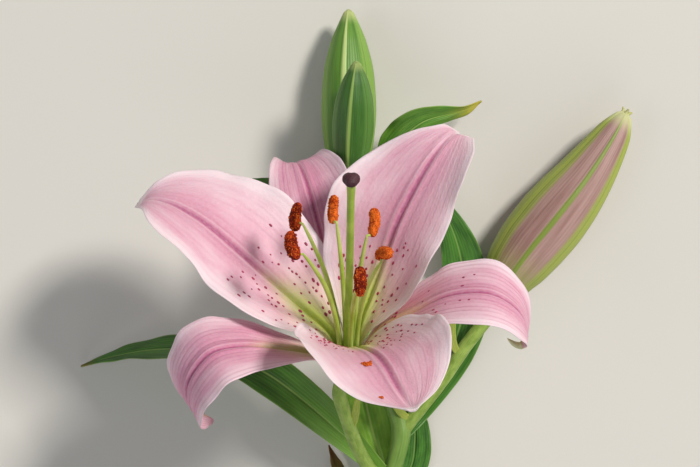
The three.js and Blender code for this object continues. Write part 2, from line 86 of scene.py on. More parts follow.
PISTIL_LENGTH = 101
OVARY_RADIUS = 2.3
STYLE_RADIUS = 1.7
STIGMA_RADIUS = 3.9
STIGMA_HEIGHT = 5
FILAMENT_RADIUS = 1.1
ANTHER_LENGTH = 13
ANTHER_RADIUS = 2.5
ANTHER_BEND = 0.6  # how far its ends curl towards the filament

PEDICEL_RADIUS = 3.3
RECEPTACLE_HEIGHT = 7
SMALL_BUD_SAG = 5.8  # how much lower the small bud's foot is than a bud lying on the large one

PINK_BUD_LENGTH = 112
PINK_BUD_RADIUS = 15.6
LARGE_BUD_LENGTH = 82
LARGE_BUD_RADIUS = 13.8
SMALL_BUD_LENGTH = 54
SMALL_BUD_RADIUS = 10.2
GREEN_BUD_TURN = 80  # where a bud's first keel is, in degrees round it
PINK_BUD_TURN = 90
BUD_LINES = 60
BUD_RIBS = 42

LEAF_THICKNESS = 0.8
LEAF_LINES = 13
LEAF_RIBS = 12
BRACT_HALF_WIDTH = 1.9

FILAMENT_RING = OVARY_RADIUS + GAP + FILAMENT_RADIUS * 1.15
PETAL_RING = FILAMENT_RING + FILAMENT_RADIUS * 1.15 + GAP + TEPAL_THICKNESS / 2
SEPAL_RING = PETAL_RING + TEPAL_THICKNESS + GAP
RECEPTACLE_RADIUS = SEPAL_RING + TEPAL_THICKNESS
PETAL_CLAW = PETAL_RING * 0.79  # half the width of a petal's foot

# ---- Curves and profiles ----


def unit(vectors):
    """Vectors scaled to length 1."""
    vectors = np.asarray(vectors, float)
    return vectors / np.maximum(np.linalg.norm(vectors, axis=-1, keepdims=True), 1e-12)


def along(pairs, u):
    """A smooth value at places u through hand-set (place, value) pairs, with no overshoot between them."""
    places, values = np.array(pairs, float).T
    if len(places) == 1:
        return np.full(np.shape(u), values[0])
    slopes = np.diff(values) / np.diff(places)
    leans = np.empty(len(places))
    leans[0], leans[-1] = slopes[0], slopes[-1]
    before, after = slopes[:-1], slopes[1:]
    same_way = before * after > 0
    total = np.where(same_way, before + after, 1.0)
    leans[1:-1] = np.where(same_way, 2 * before * after / total, 0.0)
    u = np.clip(u, places[0], places[-1])
    k = np.clip(np.searchsorted(places, u) - 1, 0, len(slopes) - 1)
    span = places[k + 1] - places[k]
    t = (u - places[k]) / span
    blend = t * t * (3 - 2 * t)
    rise = span * (t * (1 - t) ** 2 * leans[k] - t * t * (1 - t) * leans[k + 1])
    return values[k] * (1 - blend) + values[k + 1] * blend + rise


def bell(distance, width):
    """1 at distance 0, falling smoothly to nothing a few widths away."""
    return np.exp(-((distance / width) ** 2))


def smooth_path(points, count):
    """count + 1 evenly spaced places on the curve through points, and the way it heads at each."""
    points = np.asarray(points, float)
    knots = np.vstack([2 * points[0] - points[1], points, 2 * points[-1] - points[-2]])
    gaps = np.linalg.norm(np.diff(knots, axis=0), axis=1) ** 0.5
    t = np.linspace(0, 1, 64, endpoint=False)[:, None]
    stretches = []
    for i in range(len(points) - 1):
        p0, p1, p2, p3 = knots[i : i + 4]
        d0, d1, d2 = gaps[i : i + 3]
        leave = ((p1 - p0) / d0 - (p2 - p0) / (d0 + d1) + (p2 - p1) / d1) * d1
        arrive = ((p2 - p1) / d1 - (p3 - p1) / (d1 + d2) + (p3 - p2) / d2) * d1
        bend = 3 * (p2 - p1) - 2 * leave - arrive
        twist = 2 * (p1 - p2) + leave + arrive
        stretches.append(p1 + leave * t + bend * t**2 + twist * t**3)
    fine = np.vstack(stretches + [points[-1:]])
    steps = np.linalg.norm(np.diff(fine, axis=0), axis=1)
    travelled = np.concatenate([[0], np.cumsum(steps)])
    even = np.linspace(0, travelled[-1], count + 1)
    path = np.column_stack([np.interp(even, travelled, fine[:, axis]) for axis in range(3)])
    return path, unit(np.gradient(path, axis=0))


def turned(vectors, axes, degrees):
    """Vectors turned about unit axes at right angles to them."""
    angle = np.radians(degrees)[:, None]
    return vectors * np.cos(angle) + np.cross(axes, vectors) * np.sin(angle)


def wander(u, v, seed, scale=1.0):
    """Gentle unevenness over a surface, between about -1 and 1, the same for the same seed."""
    chance = np.random.default_rng(seed)
    total = np.zeros(np.broadcast(u, v).shape)
    for octave in (1, 1.7, 2.9):
        phase = chance.uniform(0, 2 * math.pi, 4)
        wave = np.sin(octave * scale * 5 * u + phase[0] + 1.3 * np.sin(2 * scale * v + phase[1]))
        total += wave * np.cos(octave * scale * 3 * v + phase[2] + np.sin(3 * u + phase[3])) / octave
    return total / 1.9


# ---- Buds in place, and from them the way from the plant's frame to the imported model's ----

PINK_BASE = np.array([73, -34, PINK_BUD_RADIUS + 0.5])
PINK_HEADING = unit((62, 93, 1))
LARGE_BASE = np.array([-0.8, 28, LARGE_BUD_RADIUS + 0.2])
LARGE_HEADING = unit((0, 1, 0.01))
SMALL_BASE = np.array([0, 30, 2 * LARGE_BUD_RADIUS + SMALL_BUD_RADIUS - SMALL_BUD_SAG])
SMALL_HEADING = unit((3, 52, 17))

PINK_BUD_OUTLINE = ((0, 0.28), (0.05, 0.66), (0.13, 0.89), (0.2, 1.02), (0.32, 1.13), (0.42, 1.15),
                    (0.52, 1.1), (0.66, 0.94), (0.83, 0.69), (0.9, 0.56), (0.96, 0.36), (1, 0.18))
GREEN_BUD_OUTLINE = ((0, 0.3), (0.05, 0.6), (0.18, 0.88), (0.4, 1), (0.6, 0.93), (0.8, 0.66), (0.93, 0.33),
                     (1, 0.12))


def plain_bud(base, heading, length, radius, outline, turn, sides, rings):
    """Points of a bud as it was packed: rounded three-sided, from its base to its tip."""
    sideways = unit(np.cross(UP, heading))
    up = np.cross(heading, sideways)
    u, a = np.meshgrid(np.linspace(0, 1, rings + 1), np.arange(sides) * 2 * math.pi / sides, indexing="ij")
    r = radius * along(outline, u) * (0.97 + 0.03 * np.cos(3 * (a - math.radians(turn))))
    out = sideways * np.cos(a)[..., None] + up * np.sin(a)[..., None]
    return base + heading * (length * u)[..., None] + out * r[..., None]


large_bud = plain_bud(LARGE_BASE, LARGE_HEADING, LARGE_BUD_LENGTH, LARGE_BUD_RADIUS, GREEN_BUD_OUTLINE,
                      turn=GREEN_BUD_TURN, sides=18, rings=14).reshape(-1, 3)
packed_low, packed_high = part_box("bud_large")
packed_middle = (np.array(packed_low) + np.array(packed_high)) / 2 / MM
SHIFT = packed_middle - (large_bud.min(axis=0) + large_bud.max(axis=0)) / 2

# ---- Mesh building ----


def make_piece(name, points, faces, uvs, material, slot, stands_for=(), outer=None):
    """One finished mesh object that rides on the plant's body. uvs has one row for each face corner."""
    mesh = bpy.data.meshes.new(name)
    mesh.from_pydata(((np.asarray(points) + SHIFT) * MM).tolist(), [], faces)
    layer = mesh.uv_layers.new(name="UVMap")
    layer.data.foreach_set("uv", np.asarray(uvs, np.float32).ravel())
    if outer is not None:
        side = mesh.attributes.new("outer", "FLOAT", "POINT")
        side.data.foreach_set("value", np.asarray(outer, np.float32))
    build = bmesh.new()
    build.from_mesh(mesh)
    bmesh.ops.recalc_face_normals(build, faces=build.faces)
    build.to_mesh(mesh)
    build.free()
    mesh.polygons.foreach_set("use_smooth", np.ones(len(mesh.polygons), bool))
    mesh.materials.append(material)
    piece = bpy.data.objects.new(name, mesh)
    bpy.context.scene.collection.objects.link(piece)
    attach(piece, "root")
    if stands_for:
        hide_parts(*stands_for)
    return piece


def grid_normals(grid):
    """The upward direction at each point of a grid of points."""
    down = np.gradient(grid, axis=0)
    sideways = np.gradient(grid, axis=1)
    return unit(np.cross(down, sideways))


RUFFLE_ALONG = ((0, 0), (0.25, 0.1), (0.5, 1), (0.85, 0.8), (1, 0))
CRIMP_WAVES = 6.5


class Blade:
    """A thin leaf or petal on a curve, as grids of its middle surface: rows run along it, columns across.

    cup and roll give, along it, how many degrees its margins rise and it turns about its midrib.
    margins gives, for each side, how many mm are added to its half width. skew makes one side wider.
    ruffle and crimp are long and short waves of the margins. notch and tip_nub shape the tip.
    """

    def __init__(self, points, side, half_width, outline, thickness, rows, columns, cup=((0, 0),),
                 roll=((0, 0),), skew=0.0, ruffle=None, margins=None, notch=0.0, crimp=0.0, tip_nub=0.0,
                 seed=0):
        u = np.linspace(0, 1, rows + 1)
        s = np.linspace(-1, 1, columns + 1)
        v = np.sign(s) * np.abs(s) ** 1.2  # closer together at the midrib
        path, ahead = smooth_path(points, rows)
        across = side(ahead)
        across = unit(across - ahead * np.sum(across * ahead, axis=1, keepdims=True))
        across = turned(across, ahead, along(roll, u))
        up = np.cross(ahead, across)
        self.u, self.v = np.meshgrid(u, v, indexing="ij")
        width = (half_width * along(outline, u))[:, None] * (1 + skew * np.sign(self.v))
        if margins:
            extra = np.where(self.v < 0, along(margins[0], self.u), along(margins[1], self.u))
            width = width + extra * self.v**2
        bend = np.radians(along(cup, u))[:, None] + 1e-6
        x = width * np.sin(bend * self.v) / bend
        lift = width * (1 - np.cos(bend * self.v)) / bend
        if ruffle:
            start = np.where(self.v < 0, ruffle["left"], ruffle["right"])
            wave = np.sin(2 * math.pi * (ruffle["waves"] * self.u + start))
            lift = lift + ruffle["depth"] * along(RUFFLE_ALONG, self.u) * np.abs(self.v) ** 3 * wave
        if crimp:
            start = np.where(self.v < 0, 0.3, 2.1) + seed
            wave = np.sin(2 * math.pi * CRIMP_WAVES * self.u + start + 1.5 * np.sin(9 * self.u + seed))
            lift = lift + crimp * along(RUFFLE_ALONG, self.u) * np.abs(self.v) ** 6 * wave
        lobes = np.abs(self.v) ** 0.6 * (1 - 0.68 * self.v**2) - 0.3
        forward = notch * bell(self.u - 1, 0.07) * lobes
        self.middle = (path[:, None] + across[:, None] * x[..., None] + up[:, None] * lift[..., None]
                       + ahead[:, None] * forward[..., None])
        self.across_mm = width * self.v
        self.half = thickness / 2 * (1 - 0.4 * self.v**2) * np.sqrt(1.02 - np.abs(self.v) ** 12)
        self.half = self.half + tip_nub * bell(self.u - 1, 0.03) * (1 - self.v**2)
        self.face = grid_normals(self.middle)
        if np.sum(self.face[:, columns // 2] * up) < 0:
            self.face = -self.face

    def nearest(self, u, v):
        """The row and the column nearest to a place on the sheet."""
        row = int(round(u * (len(self.u) - 1)))
        return row, int(np.argmin(np.abs(self.v[row] - v)))

    def push(self, amount):
        """Moves the whole sheet along its own upward direction."""
        self.middle = self.middle + self.face * amount[..., None]

    def upper(self, relief=0.0):
        return self.middle + self.face * (self.half + relief)[..., None]

    def lower(self, relief=0.0):
        return self.middle - self.face * (self.half + relief)[..., None]

    def piece(self, name, material, slot, stands_for=(), upper_relief=0.0, lower_relief=0.0):
        """The closed sheet as one object, with u along it and v across it as its UV map."""
        rows, columns = self.u.shape
        top = self.upper(upper_relief).reshape(-1, 3)
        bottom = self.lower(lower_relief).reshape(-1, 3)
        index = np.arange(rows * columns).reshape(rows, columns)
        quads = np.stack([index[:-1, :-1], index[1:, :-1], index[1:, 1:], index[:-1, 1:]], axis=-1)
        quads = quads.reshape(-1, 4)
        edge = np.concatenate([index[0, :-1], index[:-1, -1], index[-1, :0:-1], index[:0:-1, 0]])
        rim_next = np.roll(edge, -1)
        rim = np.column_stack([edge, rim_next, rim_next + rows * columns, edge + rows * columns])
        faces = np.vstack([quads, quads[:, ::-1] + rows * columns, rim])
        uv = np.column_stack([(self.v.ravel() + 1) / 2, self.u.ravel()])
        uvs = np.vstack([uv, uv])[faces.ravel()]
        outer = np.repeat([0.0, 1.0], rows * columns)
        points = np.vstack([top, bottom])
        return make_piece(name, points, faces.tolist(), uvs, material, slot, stands_for, outer)


def carried_frame(path, ahead, start):
    """A direction square to the path at each place, carried along it without twisting."""
    sides = np.empty_like(path)
    side = start - ahead[0] * np.dot(start, ahead[0])
    for i, way in enumerate(ahead):
        side = side - way * np.dot(side, way)
        side = side / np.linalg.norm(side)
        sides[i] = side
    return sides


class Tube:
    """A round form along a curve, as a grid of points: rows run along it, columns round it."""

    def __init__(self, points, radius, rows, columns, start=UP):
        self.path, self.ahead = smooth_path(points, rows)
        self.u, turn = np.meshgrid(np.linspace(0, 1, rows + 1), np.arange(columns) / columns, indexing="ij")
        self.angle = 2 * math.pi * turn
        self.side = carried_frame(self.path, self.ahead, np.asarray(start, float))
        self.other = np.cross(self.ahead, self.side)
        self.radius = radius(self.u, self.angle)

    def outward(self):
        cos, sin = np.cos(self.angle)[..., None], np.sin(self.angle)[..., None]
        return self.side[:, None] * cos + self.other[:, None] * sin

    def points(self):
        return self.path[:, None] + self.outward() * self.radius[..., None]

    def piece(self, name, material, slot, stands_for=(), end_material=None, turn_zero=0):
        """The tube as one object. Its UV map runs round it, from turn_zero degrees, and along it."""
        rows, columns = self.u.shape
        index = np.arange(rows * columns).reshape(rows, columns)
        right = np.roll(index, -1, axis=1)
        quads = np.stack([index[:-1], right[:-1], right[1:], index[1:]], axis=-1).reshape(-1, 4)
        turn = self.angle / (2 * math.pi) - turn_zero / 360
        step = 1 / columns
        near = np.stack([turn, self.u], axis=-1)
        far = np.stack([turn + step, self.u], axis=-1)
        uvs = np.stack([near[:-1], far[:-1], far[1:], near[1:]], axis=2).reshape(-1, 2)
        first, last = rows * columns, rows * columns + 1
        start_fan = [[a, first, b] for a, b in zip(index[0].tolist(), right[0].tolist())]
        end_fan = [[b, last, a] for a, b in zip(index[-1].tolist(), right[-1].tolist())]
        faces = quads.tolist() + start_fan + end_fan
        cap_uvs = np.vstack([np.full((3 * columns, 2), (0.5, 0.0)), np.full((3 * columns, 2), (0.5, 1.0))])
        points = np.vstack([self.points().reshape(-1, 3), self.path[:1], self.path[-1:]])
        piece = make_piece(name, points, faces, np.vstack([uvs, cap_uvs]), material, slot, stands_for)
        if end_material:
            piece.data.materials.append(end_material)
            for face in piece.data.polygons:
                if first in face.vertices:
                    face.material_index = 1
                    face.use_smooth = False
        return piece


# ---- Materials ----

THROAT_GLOW = "#ecebb0"
OUTER_RIB = "#b9bd6b"


def colour(code):
    """A linear colour from a #rrggbb code."""
    parts = [int(code[i : i + 2], 16) / 255 for i in (1, 3, 5)]
    return tuple(c / 12.92 if c <= 0.04045 else ((c + 0.055) / 1.055) ** 2.4 for c in parts) + (1.0,)


class Paint:
    """One material's nodes. Each method adds nodes and returns the last one's output."""

    def __init__(self, name, roughness, subsurface=0.0, specular=0.5):
        self.material = bpy.data.materials.new(name)
        self.material.use_nodes = True
        self.nodes = self.material.node_tree.nodes
        self.links = self.material.node_tree.links
        self.shader = self.nodes["Principled BSDF"]
        self.feed(self.shader, {
            "Roughness": roughness,
            "Specular IOR Level": specular,
            "Subsurface Weight": subsurface,
            "Subsurface Radius": (1.0, 0.45, 0.35),
            "Subsurface Scale": 2 * MM,
        })

    def feed(self, made, inputs):
        """Links or sets a node's inputs."""
        for key, value in inputs.items():
            if isinstance(value, bpy.types.NodeSocket):
                self.links.new(value, made.inputs[key])
            else:
                made.inputs[key].default_value = value

    def node(self, kind, output, inputs, **settings):
        made = self.nodes.new(kind)
        for key, value in settings.items():
            setattr(made, key, value)
        self.feed(made, inputs)
        return made.outputs[output]

    def math(self, operation, a, b=0.0, c=0.0):
        return self.node("ShaderNodeMath", 0, {0: a, 1: b, 2: c}, operation=operation)

    def times(self, a, b):
        return self.math("MULTIPLY", a, b)

    def distance(self, a, b):
        return self.math("ABSOLUTE", self.math("SUBTRACT", a, b))

    def from_middle(self, x):
        """0 along the middle of a blade and 1 at its margins."""
        return self.math("ABSOLUTE", self.math("MULTIPLY_ADD", x, 2.0, -1.0))

    def step(self, value, low, high):
        """0 below low, 1 above high, smooth between; high may be the smaller."""
        inputs = {"Value": value, "From Min": low, "From Max": high}
        return self.node("ShaderNodeMapRange", 0, inputs, interpolation_type="SMOOTHSTEP")

    def mix(self, factor, a, b):
        a, b = (colour(tint) if isinstance(tint, str) else tint for tint in (a, b))
        return self.node("ShaderNodeMix", 2, {0: factor, 6: a, 7: b}, data_type="RGBA")

    def coated(self, base, *coats):
        """The base with coats of colour laid over it in turn, each as (tint, mask, how well it covers)."""
        for tint, mask, cover in coats:
            base = self.mix(self.times(mask, cover), base, tint)
        return base

    def uv(self):
        return self.node("ShaderNodeUVMap", 0, {}, uv_map="UVMap")

    def place(self):
        return self.node("ShaderNodeTexCoord", "Object", {})

    def stretched(self, vector, x, y):
        return self.node("ShaderNodeMapping", 0, {"Vector": vector, "Scale": (x, y, 1.0)})

    def noise(self, vector, scale, detail=3.0, roughness=0.55):
        inputs = {"Vector": vector, "Scale": scale, "Detail": detail, "Roughness": roughness}
        return self.node("ShaderNodeTexNoise", 0, inputs)

    def parts(self, vector):
        split = self.nodes.new("ShaderNodeSeparateXYZ")
        self.links.new(vector, split.inputs[0])
        return split.outputs

    def attribute(self, name):
        return self.node("ShaderNodeAttribute", "Fac", {}, attribute_name=name)

    def finish(self, base, height, depth_mm):
        """Joins up the colour, and a surface relief of a depth in mm, and gives the material."""
        inputs = {"Height": height, "Distance": depth_mm * MM, "Strength": 1.0}
        self.links.new(base, self.shader.inputs["Base Color"])
        self.links.new(self.node("ShaderNodeBump", 0, inputs), self.shader.inputs["Normal"])
        return self.material


def stripes(p, across, count, waver):
    """Thin lines that run along a blade, count of them across it, a little uneven."""
    shaken = p.math("MULTIPLY_ADD", across, count * 2 * math.pi, p.times(waver, 9.0))
    wave = p.math("MULTIPLY_ADD", p.math("SINE", shaken), 0.5, 0.5)
    return p.math("POWER", wave, 3.0)


def ridges(p, uv, x, y, lines):
    """A surface height from raised lines and a grain that is x times finer across and y times along."""
    grain = p.noise(p.stretched(uv, x, y), 1.0, 2.0)
    return p.math("MULTIPLY_ADD", lines, 0.5, p.times(grain, 0.3))


def tepal_paint(name, body, margin, band, vein, throat, vein_strength, flush, flush_strength, tip):
    """Petal skin: pale margins, a deep band on the midrib, fine veins and a green throat."""
    p = Paint(name, roughness=0.52, subsurface=0.12, specular=0.3)
    uv = p.uv()
    x, u, _ = p.parts(uv)
    v = p.from_middle(x)
    loose = p.math("SUBTRACT", p.noise(p.stretched(uv, 3.0, 2.0), 2.2), 0.5)
    middle = p.times(p.step(v, 0.36, 0.0), p.step(u, 0.05, 0.35))
    lines = stripes(p, x, TEPAL_VEINS, p.noise(p.stretched(uv, 2.5, 1.0), 1.6, 1.5))
    faded = p.times(lines, p.step(p.noise(p.stretched(uv, 6.0, 2.0), 1.5), 0.3, 0.7))
    cells = p.noise(p.stretched(uv, 48.0, 60.0), 1.0)
    outside = p.coated(p.mix(0.45, body, margin), (OUTER_RIB, p.step(v, 0.16, 0.03), 1), (vein, lines, 0.3))
    base = p.coated(
        body,
        (margin, p.step(loose, -0.2, 0.25), 0.4),
        (margin, p.step(p.math("MULTIPLY_ADD", loose, 0.3, v), 0.5, 1.0), 1),
        (band, p.times(middle, p.step(u, 1.0, 0.72)), 0.6),
        (flush, p.times(p.step(u, 0.62, 0.12), p.step(v, 1.05, 0.2)), flush_strength),
        (vein, faded, vein_strength),
        # A dark line in the midrib's groove, partly the tepal's own darker centre line and partly painted
        # shade, and pale lines on the ridges beside it as painted highlight.
        (vein, p.times(p.step(v, 0.045, 0.015), p.step(u, 0.98, 0.75)), 0.75),
        (margin, p.step(p.distance(v, 0.085), 0.03, 0.0), 0.3),
        (THROAT_GLOW, p.step(p.math("MULTIPLY_ADD", v, 0.25, u), 0.5, 0.1), 0.8),
        (throat, p.step(p.math("MULTIPLY_ADD", v, 0.55, u), 0.48, 0.16), 0.95),
        (outside, p.attribute("outer"), 1),
        (tip, p.step(u, 0.955, 0.985), 1),
        (margin, p.step(cells, 0.35, 0.75), 0.14),
    )
    return p.finish(base, p.math("ADD", cells, p.times(lines, 0.4)), 0.22)


def leaf_paint(name, dark, light, foot, vein, tip, tip_start):
    """Leaf skin: parallel veins, a pale midrib, a colour at the foot, which on one leaf is paler as painted
    sunlight, and a dry tip.
    """
    p = Paint(name, roughness=0.42, subsurface=0.04, specular=0.4)
    uv = p.uv()
    x, u, _ = p.parts(uv)
    v = p.from_middle(x)
    cloud = p.noise(p.stretched(uv, 2.5, 3.0), 2.0, 4.0)
    lines = stripes(p, x, LEAF_LINES, p.noise(p.stretched(uv, 2.0, 0.8), 1.2, 1.5))
    ragged = p.math("ADD", u, p.times(p.math("SUBTRACT", cloud, 0.5), 0.12))
    base = p.coated(
        dark,
        (light, p.step(cloud, 0.32, 0.7), 1),
        (foot, p.step(u, 0.5, 0.1), 0.7),
        (vein, lines, 0.14),
        (vein, p.step(v, 0.07, 0.0), 0.75),
        (vein, p.step(v, 0.94, 1.0), 0.5),
        (tip, p.step(ragged, tip_start, 1.0), 1),
        (vein, p.attribute("outer"), 0.4),
    )
    return p.finish(base, ridges(p, uv, 60.0, 20.0, lines), 0.14)


def skin_paint(name, dark, light, roughness, grain_mm, depth_mm):
    """Plain living skin with soft mottling and a fine grain, for stamens and small parts."""
    p = Paint(name, roughness=roughness, subsurface=0.05)
    place = p.place()
    cloud = p.noise(place, 1 / (14 * MM), 4.0)
    fine = p.noise(place, 1 / (grain_mm * MM), 2.0)
    base = p.coated(dark, (light, p.step(cloud, 0.3, 0.7), 1), (light, p.step(fine, 0.45, 0.75), 0.25))
    return p.finish(base, fine, depth_mm)


def stem_paint(name, dark, light, streak):
    """Stem skin: mottled green with fine streaks that run along it."""
    p = Paint(name, roughness=0.42, subsurface=0.05, specular=0.4)
    uv = p.uv()
    cloud = p.noise(p.stretched(uv, 2.0, 6.0), 2.0, 4.0)
    fine = p.noise(p.stretched(uv, 40.0, 5.0), 1.0)
    base = p.coated(dark, (light, p.step(cloud, 0.3, 0.7), 1), (streak, p.step(fine, 0.5, 0.8), 0.55))
    return p.finish(base, fine, 0.12)


def bud_paint(name, panel, panel_dark, base_tint, edge, keel, seam, tip, tint_end):
    """Bud skin: three panels, each with a pale keel and lighter edges where it meets the next."""
    p = Paint(name, roughness=0.45, subsurface=0.06, specular=0.4)
    uv = p.uv()
    x, u, _ = p.parts(uv)
    turn = p.math("FRACT", p.math("MULTIPLY_ADD", x, 3.0, 0.5))
    away = p.distance(turn, 0.5)  # 0 on a keel, 0.5 at a seam
    off_front = p.distance(p.math("FRACT", p.math("ADD", x, 0.5)), 0.5)
    on_sides = p.step(off_front, 0.16, 0.175)  # 1 on the two side panels, whose edges are broader
    cloud = p.noise(p.stretched(uv, 22.0, 1.6), 1.0, 4.0)
    lines = stripes(p, x, BUD_LINES, p.noise(p.stretched(uv, 3.0, 1.0), 1.0, 1.5))
    base = p.coated(
        panel,
        (panel_dark, p.step(cloud, 0.35, 0.7), 1),
        (panel_dark, lines, 0.18),
        (edge, p.step(p.math("MULTIPLY_ADD", on_sides, 0.2, away), 0.33, 0.45), 1),
        (base_tint, p.step(u, tint_end, 0.0), 1),
        (keel, p.step(away, 0.062, 0.022), 1),
        (seam, p.step(away, 0.49, 0.5), 1),
        (tip, p.step(u, 0.9, 0.99), 1),
    )
    return p.finish(base, ridges(p, uv, 90.0, 60.0, lines), 0.14)


def pollen_paint(name, bright, dark, share):
    """Powdery pollen: loose bright grains over a darker anther."""
    p = Paint(name, roughness=0.92, specular=0.15)
    place = p.place()
    grains = p.noise(place, 1 / (0.55 * MM), 2.0, 0.7)
    patches = p.noise(place, 1 / (4.0 * MM), 2.0)
    mixed = p.math("ADD", p.times(grains, 0.55), p.times(patches, 0.45))
    return p.finish(p.mix(p.step(mixed, share - 0.07, share + 0.07), dark, bright), grains, 0.35)


# Each paint's kind and its values, in the order that its kind's function takes them.
RECIPES = {
    "petal": (tepal_paint, "#dfa6bb", "#f2dde4", "#c0628a", "#ad5580", "#bdd345", 0.12, "#e8b9c6", 0.3,
              "#f1dfe2"),
    "sepal": (tepal_paint, "#d796b0", "#efd2dc", "#bd6088", "#a84c7a", "#b3b45a", 0.38, "#d88fa8", 0.3,
              "#d9a3b4"),
    "warm_sepal": (tepal_paint, "#dda2b8", "#f3dbe4", "#c0638c", "#b0557f", "#dfae7a", 0.45, "#e58f90",
                   0.75, "#e3b4ae"),
    "spot": (skin_paint, "#8e1540", "#b02a56", 0.4, 0.5, 0.05),
    "filament": (skin_paint, "#9fba3c", "#c4d474", 0.42, 0.8, 0.04),
    "style": (skin_paint, "#84a82e", "#a9c253", 0.4, 0.8, 0.04),
    "stigma": (skin_paint, "#2a1019", "#50242f", 0.55, 0.6, 0.3),
    "bright_pollen": (pollen_paint, "#f0782a", "#a83208", 0.47),
    "dark_pollen": (pollen_paint, "#c9481a", "#65170a", 0.53),
    "loose_pollen": (pollen_paint, "#e2702a", "#9c360e", 0.48),
    "stem": (stem_paint, "#557a2c", "#7fa24b", "#9cba68"),
    "pale_stalk": (stem_paint, "#779538", "#9bb556", "#b6c97a"),
    "cut": (skin_paint, "#a8b67a", "#d3d6a6", 0.6, 0.6, 0.15),
    "leaf": (leaf_paint, "#2a591a", "#4a842a", "#447c28", "#86a955", "#94803a", 0.94),
    # The next paint's much paler foot is painted sunlight.
    "pale_foot_leaf": (leaf_paint, "#2a591a", "#4a842a", "#82b340", "#9dbd62", "#94803a", 0.94),
    # The next paint's light greens are painted sunlight on a leaf that lies in the flower's shade; its brown
    # tip is the leaf's own.
    "fresh_leaf": (leaf_paint, "#70a632", "#94c443", "#94c443", "#b9d474", "#7d5a30", 0.97),
    # The next paint's lighter greens are painted sunlight; its yellow tip is the leaf's own.
    "yellow_tip_leaf": (leaf_paint, "#4a8027", "#6b9e38", "#6fa337", "#a3c264", "#bdb03c", 0.74),
    "dry_leaf": (leaf_paint, "#5c7a2e", "#8d9a3e", "#8d9a3e", "#a59a55", "#7a4b26", 0.55),
    "bract": (leaf_paint, "#98ab3a", "#b9c45a", "#b9c45a", "#c9cf7c", "#a8923f", 0.95),
    "bud_pink": (bud_paint, "#b8968f", "#98736c", "#9aa64c", "#a3b050", "#81963e", "#7b8638", "#cfd19a",
                 0.3),
    "bud_tip": (skin_paint, "#b4b566", "#dcdcae", 0.45, 0.8, 0.1),
    # The next paint is a little lighter as painted sunlight on the large bud; the one after it is a darker
    # copy, painted shade on the small bud, which faces away from the light.
    "bud_green": (bud_paint, "#6a9838", "#4f7d28", "#80a848", "#82aa48", "#c3d686", "#456a24", "#c3cf86",
                  0.15),
    "bud_dark": (bud_paint, "#45742b", "#35601f", "#658f39", "#598638", "#8fae58", "#2c4f18", "#a5b868",
                 0.15),
}
PAINTS = {name: paint(f"{name}_skin", *values) for name, (paint, *values) in RECIPES.items()}

# ---- The open flower ----

PETAL_OUTLINE = ((0, PETAL_CLAW / PETAL_HALF_WIDTH), (0.08, 1.8 * PETAL_CLAW / PETAL_HALF_WIDTH),
                 (0.18, 0.58), (0.3, 0.87), (0.42, 0.98), (0.55, 1), (0.73, 0.86), (0.87, 0.54),
                 (0.95, 0.23), (1, 0.07))
SEPAL_OUTLINE = ((0, 0.19), (0.08, 0.25), (0.2, 0.45), (0.35, 0.75), (0.5, 0.95), (0.62, 1), (0.78, 0.84),
                 (0.9, 0.52), (0.97, 0.2), (1, 0.08))

